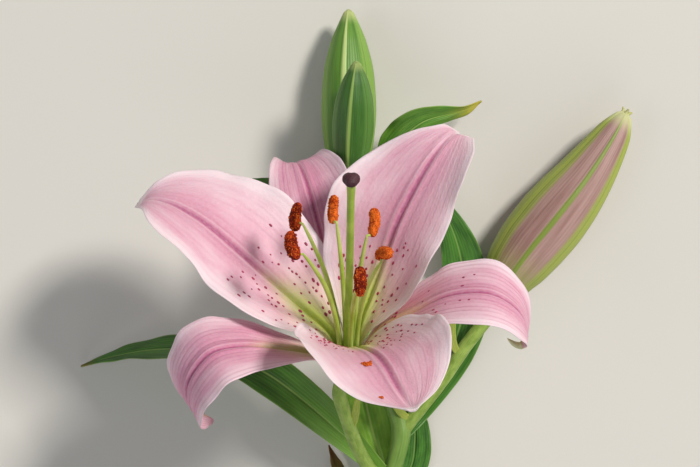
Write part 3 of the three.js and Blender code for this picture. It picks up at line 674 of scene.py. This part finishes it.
# Each tepal's midrib as (out from the flower's axis, up along it), past its foot on the receptacle.
TEPALS = {
    "petal_left": dict(
        bearing=157, paint="petal",
        midrib=((10, 9), (24, 20), (43, 34), (57, 45), (72, 55), (87, 60), (97, 59), (104, 54)),
        skew=-0.14, cup=((0, 47), (0.25, 40), (0.5, 24), (0.8, 12), (1, 24)),
        roll=((0, 0), (0.25, -6), (0.6, -8), (1, 0)),
        ruffle=dict(depth=3, waves=2.2, left=0.1, right=0.5),
        margins=(((0, 0), (0.7, 0), (0.82, 1), (0.93, 0), (1, 1)),
                 ((0, 0), (0.2, 3), (0.35, 4), (0.5, 1), (0.65, -3), (0.85, 2.5), (0.93, 0), (1, 1)))),
    "petal_right": dict(
        bearing=52, paint="petal",
        midrib=((9, 12), (18, 25), (28, 40), (36, 53), (46, 63), (58, 72), (69, 77), (78, 78), (84, 74)),
        skew=0.07, cup=((0, 47), (0.25, 34), (0.5, 28), (0.8, 20), (1, 24)),
        ruffle=dict(depth=4, waves=2, left=0.6, right=0.2),
        margins=(((0, 0), (0.35, -1), (0.5, -2.5), (0.65, -3), (0.78, 0), (0.88, 3.2), (0.95, 3.5), (1, 3.3)),
                 ((0, 0), (0.5, 0), (0.7, -1.2), (0.82, -2), (0.9, -3), (0.96, 0), (1, 3))),
        notch=6.5),
    "petal_front": dict(
        bearing=-73, paint="petal", widen=1.08,
        midrib=((12, 13), (26, 26), (42, 38), (57, 45), (72, 48), (84, 51), (92, 55)),
        skew=-0.06, cup=((0, 47), (0.25, 62), (0.5, 45), (0.8, 26), (1, 30)),
        roll=((0, 0), (0.3, -5), (0.7, -2), (1, 0)),
        ruffle=dict(depth=3, waves=1.6, left=0.2, right=0.3),
        margins=(((0, 0), (0.3, 2), (0.45, 3), (0.7, 0), (1, 0)),
                 ((0, 0), (0.4, 1), (0.6, 1.5), (0.8, -1), (1, 0)))),
    "sepal_back": dict(
        bearing=105, paint="sepal", widen=0.94,
        midrib=((15, 8), (34, 21), (58, 33), (80, 39), (95, 36), (103, 26)),
        cup=((0, 37), (0.3, 20), (0.6, 14), (1, 14)),
        ruffle=dict(depth=7, waves=1.2, left=0.35, right=0.05)),
    "sepal_left": dict(
        bearing=208, paint="sepal",
        midrib=((14, 4), (30, 15), (52, 28), (68, 31), (79, 19), (80, 5), (70, -12)),
        cup=((0, 37), (0.3, 15), (0.6, 5), (1, 10))),
    "sepal_right": dict(
        bearing=-9, paint="warm_sepal",
        midrib=((15, 15), (30, 30), (47, 43), (64, 46), (76, 38), (81, 26), (80, 16)),
        cup=((0, 37), (0.3, 15), (0.6, 5), (1, 10))),
}

LEAN = math.radians(FLOWER_LEAN)
FLOWER_TURN = np.array([[1, 0, 0], [0, math.cos(LEAN), math.sin(LEAN)], [0, -math.sin(LEAN), math.cos(LEAN)]])
FLOWER_AXIS = FLOWER_TURN @ UP


def in_flower(points):
    """Points of the flower's own frame, whose axis is its +Z, in the plant's frame."""
    return np.asarray(points, float) @ FLOWER_TURN.T + FLOWER_AT


def spoke(bearing, pairs):
    """Points at one bearing in the flower's own frame, from pairs of (out from its axis, up along it)."""
    turn = math.radians(bearing)
    return np.array([(out * math.cos(turn), out * math.sin(turn), up) for out, up in pairs])


def tepal(name, bearing, midrib, paint, widen=1.0, **shape):
    """One petal or sepal, with a channel along its midrib and fine veins."""
    is_petal = name.startswith("petal")
    spine = spoke(bearing, ((PETAL_RING if is_petal else SEPAL_RING, 0.5), *midrib))
    sideways = FLOWER_TURN @ spoke(bearing + 90, [(1, 0)])[0]
    blade = Blade(
        in_flower(spine), lambda ahead: np.broadcast_to(sideways, ahead.shape),
        (PETAL_HALF_WIDTH if is_petal else SEPAL_HALF_WIDTH) * widen,
        PETAL_OUTLINE if is_petal else SEPAL_OUTLINE, TEPAL_THICKNESS,
        rows=170, columns=84, crimp=0.45, tip_nub=0.2 if is_petal else 1.1,
        seed=bearing, **shape)
    x = blade.across_mm
    strength = along(((0, 0.6), (0.12, 1), (0.5, 0.9), (0.85, 0.5), (1, 0)), blade.u)
    channel = -1.0 * bell(x, 1.1) + 0.45 * bell(np.abs(x) - 2.4, 1.0) - 0.25 * bell(np.abs(x) - 5, 1.5)
    swell = 0.5 * wander(blade.u, blade.v, seed=bearing % 97) * (1 - 0.6 * bell(x, 6))
    blade.push(channel * strength + swell * along(((0, 0), (0.2, 0.6), (1, 1)), blade.u))
    veins = (0.03 if is_petal else 0.07) * np.cos(math.pi * TEPAL_VEINS * (blade.v + 1))
    blade.piece(f"fine_{name}", PAINTS[paint], "petal" if is_petal else "sepal", [name],
                upper_relief=veins, lower_relief=veins + 0.5 * bell(x, 1.2) * strength)
    return blade


def dome_faces(rings, sides):
    """Faces of a dome: rings of points from its rim up, then one point on top."""
    faces = []
    for ring in range(rings - 1):
        for k in range(sides):
            a, b = ring * sides + k, ring * sides + (k + 1) % sides
            faces.append((a, b, b + sides, a + sides))
    top = rings * sides
    faces += [(top - sides + k, top - sides + (k + 1) % sides, top) for k in range(sides)]
    return faces


def blobs(name, centres, normals, sizes, material, slot, height=0.55, stretch=None, heading=None):
    """Many small raised domes as one piece. sizes are radii; stretch draws each one out along its heading."""
    rings, sides = 3, 10
    faces = dome_faces(rings, sides)
    per_dome = rings * sides + 1
    points, all_faces = [], []
    for i, (centre, normal, size) in enumerate(zip(centres, normals, sizes)):
        side = heading[i] if heading is not None else np.cross(normal, [0.3, 0.5, 0.8])
        side = unit(side - normal * np.dot(side, normal))
        other = np.cross(normal, side)
        draw = stretch[i] if stretch is not None else 1.0
        for lift in np.linspace(-0.25, 0.8, rings):
            reach = math.sqrt(1 - lift**2)
            for k in range(sides):
                turn = 2 * math.pi * k / sides
                flat = side * math.cos(turn) * draw + other * math.sin(turn)
                points.append(centre + size * (flat * reach + normal * lift * height))
        points.append(centre + size * normal * height)
        all_faces += [tuple(j + i * per_dome for j in face) for face in faces]
    uvs = np.zeros((sum(len(face) for face in all_faces), 2))
    return make_piece(name, np.array(points), all_faces, uvs, material, slot)


# Raised dark spots: how many, how far along the tepal and how far out from its midrib they go.
SPOTS = {
    "petal_left": dict(count=78, along=(0.12, 0.53), across=(0.14, 0.8)),
    "petal_right": dict(count=52, along=(0.12, 0.5), across=(0.14, 0.72)),
    "petal_front": dict(count=78, along=(0.12, 0.46), across=(0.2, 0.85)),
    "sepal_right": dict(count=24, along=(0.16, 0.6), across=(0.14, 0.7)),
}
SPOT_SPACING = 2.0
SPOT_LIFT = 0.03


def spots(name, blade, count, along, across):
    """Spots scattered over a tepal's upper face, largest near its throat."""
    chance = np.random.default_rng(count)
    top = blade.upper(SPOT_LIFT)
    last_row = len(top) - 1
    chosen = []
    while len(chosen) < count:
        u = along[0] + (along[1] - along[0]) * chance.beta(1.3, 1.6)
        v = chance.uniform(*across) * chance.choice((-1, 1))
        row, column = blade.nearest(u, v)
        place = top[row, column]
        if all(np.linalg.norm(place - other[0]) > SPOT_SPACING for other in chosen):
            forward = unit(top[min(row + 2, last_row), column] - top[row - 2, column])
            share = (u - along[0]) / (along[1] - along[0])
            size = chance.uniform(0.36, 0.68) * (1.1 - 0.3 * share)
            chosen.append((place, blade.face[row, column], size, chance.uniform(1.1, 1.9), forward))
    places, normals, sizes, stretch, forward = zip(*chosen)
    blobs(f"spots_{name}", places, normals, sizes, PAINTS["spot"], name.split("_")[0],
          stretch=stretch, heading=forward)


blades = {name: tepal(name, **shape) for name, shape in TEPALS.items()}
for name, spread in SPOTS.items():
    spots(name, blades[name], **spread)


# Pollen that has dropped on a tepal, in clumps: how far along, how far across, how wide, how many grains.
FALLEN_CLUMPS = ((0.61, -0.22, 2.4, 40), (0.86, -0.45, 1.0, 8), (0.15, -0.06, 0.6, 5))
FALLEN_SEED = 11


def fallen_pollen(blade):
    chance = np.random.default_rng(FALLEN_SEED)
    top = blade.upper()
    places, normals, sizes = [], [], []
    for u, v, spread, count in FALLEN_CLUMPS:
        row, column = blade.nearest(u, v)
        normal = blade.face[row, column]
        for _ in range(count):
            drift = chance.normal(0, spread / 2, 3)
            drift = drift - normal * np.dot(drift, normal)
            places.append(top[row, column] + drift + normal * chance.uniform(0.1, 0.5))
            normals.append(normal)
            sizes.append(chance.uniform(0.35, 0.75))
    blobs("fallen_pollen", places, normals, sizes, PAINTS["loose_pollen"], "pollen", height=0.9)


fallen_pollen(blades["petal_front"])

# The right sepal ends in a narrow greenish tip that curls back under it.
RIGHT_CURL = ((80, 17.5), (79, 16), (76, 16.5), (72.5, 19.5))
RIGHT_CURL_RADIUS = 1.6
curled_tip = Tube(in_flower(spoke(TEPALS["sepal_right"]["bearing"], RIGHT_CURL)),
                  lambda u, a: RIGHT_CURL_RADIUS * (1 - u**2) + 0.15, 30, 16)
curled_tip.piece("tip_sepal_right", PAINTS["bud_tip"], "sepal")

# Stamens: the bearing of the foot, where the filament ends, which way the anther points, how far
# along the anther the filament meets it and, where it is not outwards, the side it is carried on.
STAMENS = (
    dict(foot=208, tip=(-19.5, -9, 69), heading=(-0.27, 0.65, 0.71), grip=0.15, pollen="dark_pollen"),
    dict(foot=157, tip=(-20, 13, 67), heading=(0.1, 0.66, 0.74), grip=0.3, pollen="dark_pollen"),
    dict(foot=104, tip=(-5, 14, 67), heading=(0.05, 0.67, 0.74), grip=0.08, pollen="bright_pollen"),
    dict(foot=46, tip=(8.5, 8, 64.5), heading=(0.05, 0.66, 0.74), grip=0.06, pollen="bright_pollen"),
    dict(foot=-8, tip=(14.5, -11, 66), heading=(0.45, -0.59, 0.67), grip=0.35, side=(0.1, 0.67, 0.74),
         pollen="bright_pollen"),
    dict(foot=-72, tip=(4.5, -25, 65), heading=(0, 0.67, 0.74), grip=0.35, pollen="dark_pollen"),
)
GRAINS = 110  # loose on each anther
FILAMENT_TAPER = ((0, 1.2), (0.15, 1.05), (0.5, 1), (0.9, 0.72), (1, 0.42))


def filament_radius(u, a):
    return FILAMENT_RADIUS * along(FILAMENT_TAPER, u) * (1 + 0.03 * np.cos(2 * a + 3 * u))


def filament(number, foot, tip):
    base = spoke(foot, [(FILAMENT_RING, 1)])[0]
    tip = np.array(tip, float)

    def lean(share, height):
        x, y, _ = base + (tip - base) * share
        return np.array([x, y, tip[2] * height])

    points = in_flower([base, lean(0.1, 0.3), lean(0.4, 0.65), lean(0.8, 0.9), tip])
    tube = Tube(points, filament_radius, 60, 20)
    tube.piece(f"fine_filament_{number}", PAINTS["filament"], "stamen_green", [f"filament_{number}"])


def anther(number, tip, heading, grip, pollen, side=None):
    """A bean-shaped anther with a furrow down each side and loose grains all over it."""
    ahead = unit(heading)
    away = np.array([tip[0], tip[1], 0.0]) if side is None else np.array(side, float)
    away = unit(away - ahead * np.dot(away, ahead))
    centre = np.array(tip) + ahead * (0.5 - grip) * ANTHER_LENGTH
    centre = centre + away * (ANTHER_RADIUS + FILAMENT_RADIUS + GAP)
    chance = np.random.default_rng(number)
    ends = [centre + ahead * sign * ANTHER_LENGTH / 2 - away * ANTHER_BEND * chance.uniform(1, 2.6)
            for sign in (-1, 1)]
    rows, columns = 72, 48

    def radius(u, a):
        rounded = np.sqrt(np.maximum(1 - np.abs(2 * u - 1) ** 3.2, 0.012))
        furrow = sum(bell(np.sin((a - place) / 2), 0.16) * (np.cos(a - place) > 0)
                     for place in (math.pi / 2, -math.pi / 2))
        lumps = chance.normal(0, 0.1, u.shape) + 0.28 * wander(u * 2, a, number, 1.4)
        fat = 1.04 + 0.12 * np.sin(2.6 * u + number)
        return ANTHER_RADIUS * fat * rounded * (1 - 0.26 * furrow) + lumps * np.minimum(rounded * 2, 1)

    tube = Tube(in_flower([ends[0], centre, ends[1]]), radius, rows, columns, FLOWER_TURN @ away)
    tube.piece(f"fine_anther_{number}", PAINTS[pollen], "pollen", [f"anther_{number}"])
    row = chance.integers(3, rows - 3, GRAINS)
    column = chance.integers(0, columns, GRAINS)
    skin, out = tube.points()[row, column], tube.outward()[row, column]
    sizes = chance.uniform(0.16, 0.42, GRAINS)
    blobs(f"grains_anther_{number}", skin, out, sizes, PAINTS["loose_pollen"], "pollen", height=1.0)
    # The thread on which the anther swings joins the filament's tip to the anther's near side.
    hold = np.array(tip, float)
    thread = in_flower([hold - ahead * 0.2, hold + away * 0.9, hold + away * (FILAMENT_RADIUS + 1.2)])
    link = Tube(thread, lambda u, a: FILAMENT_RADIUS * (0.42 + 0.2 * u), 10, 12)
    link.piece(f"thread_{number}", PAINTS["filament"], "stamen_green")


for number, stamen in enumerate(STAMENS, start=1):
    filament(number, stamen["foot"], stamen["tip"])
    anther(number, **{key: value for key, value in stamen.items() if key != "foot"})

PISTIL_TIP = np.array([1.5, 0, PISTIL_LENGTH])
PISTIL_RADII = (
    (0, OVARY_RADIUS * 0.9),
    (0.1, OVARY_RADIUS),
    (0.28, OVARY_RADIUS * 0.92),
    (0.36, STYLE_RADIUS),
    (0.9, STYLE_RADIUS),
    (1, STYLE_RADIUS * 1.2),
)


def pistil_radius(u, a):
    """The ovary has six shallow furrows, which fade out along the style."""
    furrows = 0.05 * np.cos(6 * a) * along(((0, 1), (0.28, 1), (0.38, 0.2), (1, 0.3)), u)
    return along(PISTIL_RADII, u) * (1 + furrows)


pistil = Tube(in_flower([PISTIL_TIP * share for share in (0.01, 0.35, 0.7, 1)]), pistil_radius, 110, 36)
pistil.piece("fine_pistil", PAINTS["style"], "stamen_green", ["pistil"])

STIGMA_TURN = 30
STIGMA_OUTLINE = ((0, 0.5), (0.12, 0.82), (0.35, 1), (0.6, 0.98), (0.82, 0.78), (0.94, 0.5), (1, 0.12))


def stigma_radius(u, a):
    """Three fat lobes, parted by grooves that deepen towards the top."""
    lobes = np.cos(1.5 * (a - math.radians(STIGMA_TURN))) ** 2
    groove = 0.1 + 0.16 * u
    lumps = 0.12 * wander(u * 2, 2 * a, 5, 3.0) * np.minimum(6 * (1 - u), 1)
    return STIGMA_RADIUS * along(STIGMA_OUTLINE, u) * (1 - groove * (1 - lobes) ** 2) + lumps


stigma_base = PISTIL_TIP + UP * GAP * 0.5
stigma_points = [stigma_base + UP * STIGMA_HEIGHT * share for share in (0, 0.5, 1)]
stigma = Tube(in_flower(stigma_points), stigma_radius, 40, 72, FLOWER_TURN @ np.array([1.0, 0, 0]))
stigma.piece("fine_stigma", PAINTS["stigma"], "stigma", ["stigma"])

RECEPTACLE_RADII = (
    (0, PEDICEL_RADIUS * 1.05),
    (0.5, PEDICEL_RADIUS * 1.5),
    (0.9, RECEPTACLE_RADIUS),
    (1, RECEPTACLE_RADIUS * 0.9),
)
receptacle_points = [UP * height for height in (-RECEPTACLE_HEIGHT - GAP, -RECEPTACLE_HEIGHT / 2, 0)]
receptacle = Tube(
    in_flower(receptacle_points),
    lambda u, a: along(RECEPTACLE_RADII, u) * (1 + 0.04 * u * np.cos(6 * a)), 30, 72)
receptacle.piece("fine_receptacle", PAINTS["pale_stalk"], "stem_green", ["receptacle"])

# ---- Stem and stalks ----

STEM_POINTS = (
    (8, FLOWER_NODE - STEM_BELOW_FLOWER, STEM_RADIUS),
    (10, FLOWER_NODE - STEM_BELOW_FLOWER * 0.66, 6),
    (13, FLOWER_NODE - STEM_BELOW_FLOWER * 0.32, 9),
    (18, FLOWER_NODE, 12.5),
    (25, PINK_BUD_NODE, 13),
    (21, -83, 13),
    (12, -60, 12),
    (5, -30, 12),
    (2, -3, 12),
    (1, 20, 13),
)
STEM_RADII = ((0, STEM_RADIUS), (0.6, STEM_RADIUS * 0.95), (1, STEM_TIP_RADIUS))
STEM_AXIS, _ = smooth_path(STEM_POINTS, 800)


def on_stem(y):
    """The point of the stem's axis at a given Y."""
    return np.array([np.interp(y, STEM_AXIS[:, 1], STEM_AXIS[:, axis]) for axis in range(3)])


def stem_share(y):
    """How far along the stem, from 0 to 1, a given Y is."""
    return float(np.interp(y, STEM_AXIS[:, 1], np.linspace(0, 1, len(STEM_AXIS))))


def stalk(start, through, end, heading):
    """Points from a start, through steps measured from there, arriving at an end along the heading."""
    return [start, *(start + np.array(step) for step in through), end - heading * PEDICEL_RADIUS, end]


# Where leaves and stalks leave the stem, it swells a little.
STEM_JOINTS = (FLOWER_NODE, PINK_BUD_NODE, SMALL_BUD_NODE, WITHERED_LEAF_NODE, *LOWER_LEAF_NODES)


def stem_radius(u, a):
    swelling = sum(0.5 * bell(u - stem_share(y), 0.012) for y in STEM_JOINTS)
    ribs = 0.06 * np.cos(5 * a + 4 * u) + 0.08 * wander(9 * u, a, 3)
    return along(STEM_RADII, u) + swelling + ribs


stem = Tube(STEM_POINTS, stem_radius, 420, 40)
stem.piece("fine_stem", PAINTS["stem"], "stem_green", ["stem"], PAINTS["cut"])

FLOWER_FOOT = FLOWER_AT - FLOWER_AXIS * (RECEPTACLE_HEIGHT + GAP)
STALKS = {
    "pedicel_flower": stalk(
        on_stem(FLOWER_NODE), ((-13, 22, 20), (-20, 42, 38), (-23, 55, 49)), FLOWER_FOOT, FLOWER_AXIS),
    "pedicel_pink_bud": stalk(
        on_stem(PINK_BUD_NODE), ((11, 14, 1), (21, 27, 2), (31, 42, 3)), PINK_BASE, PINK_HEADING),
    "pedicel_small_bud": stalk(
        on_stem(SMALL_BUD_NODE), ((0, 4, 9), (-1, 9, 14)), SMALL_BASE, SMALL_HEADING),
}
STALK_SWELLING = ((0, 1.12), (0.12, 1), (0.9, 1), (1, 1.1))


def stalk_radius(u, a):
    ribs = 1 + 0.02 * np.cos(4 * a)
    return PEDICEL_RADIUS * along(STALK_SWELLING, u) * ribs + 0.07 * wander(4 * u, a, 8)


for name, points in STALKS.items():
    Tube(points, stalk_radius, 160, 32).piece(f"fine_{name}", PAINTS["pale_stalk"], "stem_green", [name])

# ---- Buds ----

BUDS = {
    "bud_pink": dict(
        base=PINK_BASE + PINK_HEADING * GAP, heading=PINK_HEADING, length=PINK_BUD_LENGTH,
        radius=PINK_BUD_RADIUS, outline=PINK_BUD_OUTLINE, turn=PINK_BUD_TURN, paint="bud_pink",
        bow=3.5, flat=0.12),
    "bud_large": dict(
        base=LARGE_BASE, heading=LARGE_HEADING, length=LARGE_BUD_LENGTH,
        radius=LARGE_BUD_RADIUS, outline=GREEN_BUD_OUTLINE, turn=GREEN_BUD_TURN, paint="bud_green"),
    # Its darker paint is painted shade.
    "bud_small": dict(
        base=SMALL_BASE + SMALL_HEADING * GAP, heading=SMALL_HEADING, length=SMALL_BUD_LENGTH,
        radius=SMALL_BUD_RADIUS, outline=GREEN_BUD_OUTLINE, turn=GREEN_BUD_TURN, paint="bud_dark",
        slot="bud_green"),
}
BOW_ALONG = ((0, 0), (0.12, 0.9), (0.25, 0.85), (0.42, 0.35), (0.65, -0.25), (0.85, -0.28), (1, 0))


def bud(name, base, heading, length, radius, outline, turn, paint, slot=None, bow=0, flat=0):
    """Three sepals pressed together: a keel down each, seams between them and tips that part a little.

    bow is how many mm it swings sideways along BOW_ALONG, flat is how much less high it is than wide.
    """

    def shape(u, a):
        from_keel = a - math.radians(turn)
        body = 0.97 + 0.03 * np.cos(3 * from_keel)
        keel = bell(np.sin(1.5 * from_keel), 0.17) * along(((0, 0.2), (0.3, 0.8), (0.85, 1), (1, 0.6)), u)
        seam = bell(np.cos(1.5 * from_keel), 0.14)
        parted = along(((0, 0.25), (0.6, 0.45), (0.9, 1), (1, 3)), u)
        ribs = 0.07 * np.cos(BUD_RIBS * from_keel) * (1 - seam)
        rounded = np.minimum(1, np.sqrt(np.maximum(1 - u, 0.0) / 0.02 + 0.15))
        skin = radius * along(outline, u) * body * rounded * (1 - flat * np.sin(a) ** 2)
        return skin + 0.55 * keel - 0.75 * seam * parted * skin / radius**0.5 / 3 + ribs * skin / radius

    sideways = unit(np.cross(UP, heading))
    points = [base + heading * length * share + sideways * bow * lean for share, lean in BOW_ALONG]
    tube = Tube(points, shape, 190, 126, sideways)
    tube.piece(f"fine_{name}", PAINTS[paint], slot or paint, [name], turn_zero=turn)


for name, spec in BUDS.items():
    bud(name, **spec)

# The pink bud is about to open: its three sepal tips have parted and curl outwards.
CURL_LENGTH = 6
CURL_RADIUS = 1.2
CURL_SINK = 3.5  # how far below the bud's end it starts
CURL_SPREAD = ((0, 1.6), (0.6, 1.9), (0.85, 3.2))  # how far it stands out, along its length


def curl_radius(u, a):
    return CURL_RADIUS * np.sqrt(np.maximum(1 - u**3, 0.02)) * (1 - 0.25 * u)


pink_side = unit(np.cross(UP, PINK_HEADING))
pink_up = np.cross(PINK_HEADING, pink_side)
curl_foot = BUDS["bud_pink"]["base"] + PINK_HEADING * (PINK_BUD_LENGTH - CURL_SINK)
for number in range(3):
    turn = math.radians(PINK_BUD_TURN + 120 * number)
    out = pink_side * math.cos(turn) + pink_up * math.sin(turn)
    points = [curl_foot + PINK_HEADING * CURL_LENGTH * share + out * away for share, away in CURL_SPREAD]
    curl = Tube(points, curl_radius, 24, 16)
    curl.piece(f"tip_bud_pink_{number + 1}", PAINTS["bud_tip"], "bud_pink")

# ---- Leaves ----

LEAF_OUTLINE = ((0, 0.3), (0.1, 0.5), (0.3, 0.88), (0.5, 1), (0.7, 0.84), (0.88, 0.42), (1, 0.04))
BRACT_OUTLINE = ((0, 0.8), (0.3, 1), (0.7, 0.8), (1, 0.1))
PLAIN_CUP = ((0, 30), (0.3, 8), (1, 8))
LOWER_CUP = ((0, 40), (0.3, 20), (1, 10))

# Each leaf starts on the stem's axis at a given Y. reach holds the rest of its midrib, measured from there.
LEAVES = {
    # Its paint has a paler foot as painted sunlight.
    "leaf_left": dict(
        start=-121, half_width=11, paint="pale_foot_leaf",
        reach=((-22, 22, 7), (-42, 40, 12), (-61, 54, 16), (-80, 62, 19), (-100, 65, 17), (-120, 64, 10),
               (-138, 60, 0), (-153, 55, -10)),
        cup=((0, 40), (0.3, 25), (1, 15)), roll=((0, 0), (0.4, 10), (0.6, 50), (1, 60))),
    "leaf_right": dict(
        start=-100, half_width=11.5,
        reach=((8, 11, -7), (17, 27, -8), (26, 44, -8), (31, 61, -7), (31, 79, -4), (27, 97, 1),
               (20, 112, 4), (11, 123, 4)),
        cup=((0, 40), (0.3, 12), (1, 12)),
        margins=(((0, 0), (0.3, 0.6), (0.6, 1.4), (1, 0)), ((0, 0), (1, 0)))),
    "leaf_sunlit": dict(
        start=-122, half_width=14, paint="fresh_leaf",
        # Its paint is light greens that stand for painted sunlight.
        reach=((-3, 8, -7.5), (-8, 24, -8.5), (-12, 42, -8.5), (-14, 60, -8))),
    "leaf_shaded": dict(
        start=-134, half_width=8.5,
        reach=((6, 8, -7), (13, 18, -9), (15, 32, -9.5), (14, 46, -9.5), (12, 58, -9.5))),
    # Its paint's lighter greens are painted sunlight.
    "leaf_twisted": dict(
        start=8, half_width=7, paint="yellow_tip_leaf",
        reach=((12, 18, 3), (22, 36, 9), (34, 46, 14), (47, 50, 12), (56, 53, 8), (63, 57, 2)),
        roll=((0, 0), (0.35, -30), (0.7, 40), (1, 60)),
        margins=(((0, 0), (0.5, 0), (0.7, -1.5), (0.88, 1.2), (1, 0)),
                 ((0, 0), (0.25, 0), (0.45, 2.2), (0.65, 2.2), (0.85, 0), (1, 0)))),
    "leaf_hidden": dict(
        start=-3, half_width=7,
        reach=((-13, 13, 5), (-30, 22, 11), (-44, 26, 12), (-55, 29, 8))),
    "leaf_withered": dict(
        start=WITHERED_LEAF_NODE, half_width=6, paint="dry_leaf",
        reach=((-8, 16, 0), (-15, 34, -3), (-21, 50, -5), (-25, 60, -6)),
        roll=((0, 0), (1, 40))),
    "leaf_lower_1": dict(
        start=LOWER_LEAF_NODES[0], half_width=12, cup=LOWER_CUP,
        reach=((18, 12, 5), (38, 28, 8), (58, 42, 5), (74, 54, -6))),
    "leaf_lower_2": dict(
        start=LOWER_LEAF_NODES[1], half_width=13, cup=LOWER_CUP,
        reach=((-17, 12, 6), (-38, 27, 9), (-60, 42, 5), (-80, 54, -5))),
    "leaf_lower_3": dict(
        start=LOWER_LEAF_NODES[2], half_width=12, cup=LOWER_CUP,
        reach=((16, 8, 3), (38, 20, 4), (60, 31, 1), (80, 38, -5))),
}


def level_side(ahead):
    """The level direction across a leaf."""
    return np.cross(UP, ahead)


def leaf(name, start, reach, half_width, paint="leaf", cup=PLAIN_CUP, **shape):
    """One leaf, with a channel along its midrib and raised veins."""
    foot = on_stem(start)
    blade = Blade([foot, *(foot + np.array(step) for step in reach)], level_side, half_width, LEAF_OUTLINE,
                  LEAF_THICKNESS, rows=140, columns=44, cup=cup, crimp=0.5, seed=start, **shape)
    x = blade.across_mm
    rib = along(((0, 0.3), (0.1, 1), (0.8, 0.7), (1, 0)), blade.u)
    channel = -0.45 * bell(x, 1.0) * rib
    swell = 0.35 * wander(blade.u * 1.4, blade.v, seed=abs(start))
    blade.push(channel + swell * along(((0, 0), (0.15, 1), (1, 1)), blade.u))
    veins = 0.05 * np.cos(math.pi * LEAF_RIBS * (blade.v + 1))
    blade.piece(f"fine_{name}", PAINTS[paint], "leaf_green", [name],
                upper_relief=veins, lower_relief=veins + 0.5 * bell(x, 0.8) * rib)


for name, spec in LEAVES.items():
    leaf(name, **spec)

# Narrow bracts: the stalk each one leaves, how far along it, and the rest of its midrib from there.
BRACTS = {
    "bract_flower": ("pedicel_flower", 0.53, ((2, 7, 8), (3, 14, 14), (4, 22, 18))),
    "bract_pink_bud": ("pedicel_pink_bud", 0.6, ((-3, 5, 5), (-4, 13, 9), (-2, 25, 12))),
    "bract_node": ("pedicel_pink_bud", 0.1, ((-4, 3, 4), (-8, 8, 7), (-11, 15, 8))),
}
for name, (stalk_name, share, reach) in BRACTS.items():
    axis, _ = smooth_path(STALKS[stalk_name], 200)
    foot = axis[round(200 * share)]
    blade = Blade([foot, *(foot + np.array(step) for step in reach)], level_side, BRACT_HALF_WIDTH,
                  BRACT_OUTLINE, LEAF_THICKNESS, rows=60, columns=14, cup=PLAIN_CUP)
    blade.piece(f"fine_{name}", PAINTS["bract"], "bract_green", [name])

# ---- Table, light and camera ----

TABLE_GAP = 0.0002  # metres below the lowest piece
low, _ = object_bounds()
bpy.ops.mesh.primitive_plane_add(size=6, location=(0, 0, low[2] - TABLE_GAP))
table = bpy.context.object
table.name = "table"
table_paint = Paint("table_paper", roughness=0.8, specular=0.2)
table_paint.shader.inputs["Base Color"].default_value = colour("#d9d6cf")
table.data.materials.append(table_paint.material)


def area_light(name, place, aim, size, power, tint):
    """A soft square lamp that points at a place. power is in watts."""
    lamp = bpy.data.lights.new(name, "AREA")
    lamp.size = size
    lamp.energy = power
    lamp.color = tint
    holder = bpy.data.objects.new(name, lamp)
    holder.location = place
    holder.rotation_euler = (Vector(aim) - Vector(place)).to_track_quat("-Z", "Y").to_euler()
    bpy.context.scene.collection.objects.link(holder)


middle = (0.0, 0.0, 0.06)
area_light("key_lamp", (1.9, 1.5, 2.5), middle, 0.65, 106, (1.0, 0.96, 0.9))
area_light("fill_lamp", (-2.0, -0.8, 1.8), middle, 2.0, 16, (0.93, 0.96, 1.0))
area_light("front_lamp", (0.4, -2.2, 1.8), middle, 2.0, 12, (1.0, 1.0, 1.0))

world = bpy.data.worlds.new("studio")
world.use_nodes = True
sky = world.node_tree.nodes["Background"]
sky.inputs["Color"].default_value = (0.86, 0.9, 0.95, 1.0)
sky.inputs["Strength"].default_value = 0.22
bpy.context.scene.world = world
bpy.context.scene.view_settings.view_transform = "Standard"

CAMERA_HEIGHT = 969  # straight above the origin of the plant's frame
lens = bpy.data.cameras.new("camera")
lens.lens = 100
lens.sensor_width = 36
camera = bpy.data.objects.new("camera", lens)
camera.location = (np.array([0, 0, CAMERA_HEIGHT]) + SHIFT) * MM
bpy.context.scene.collection.objects.link(camera)
bpy.context.scene.camera = camera
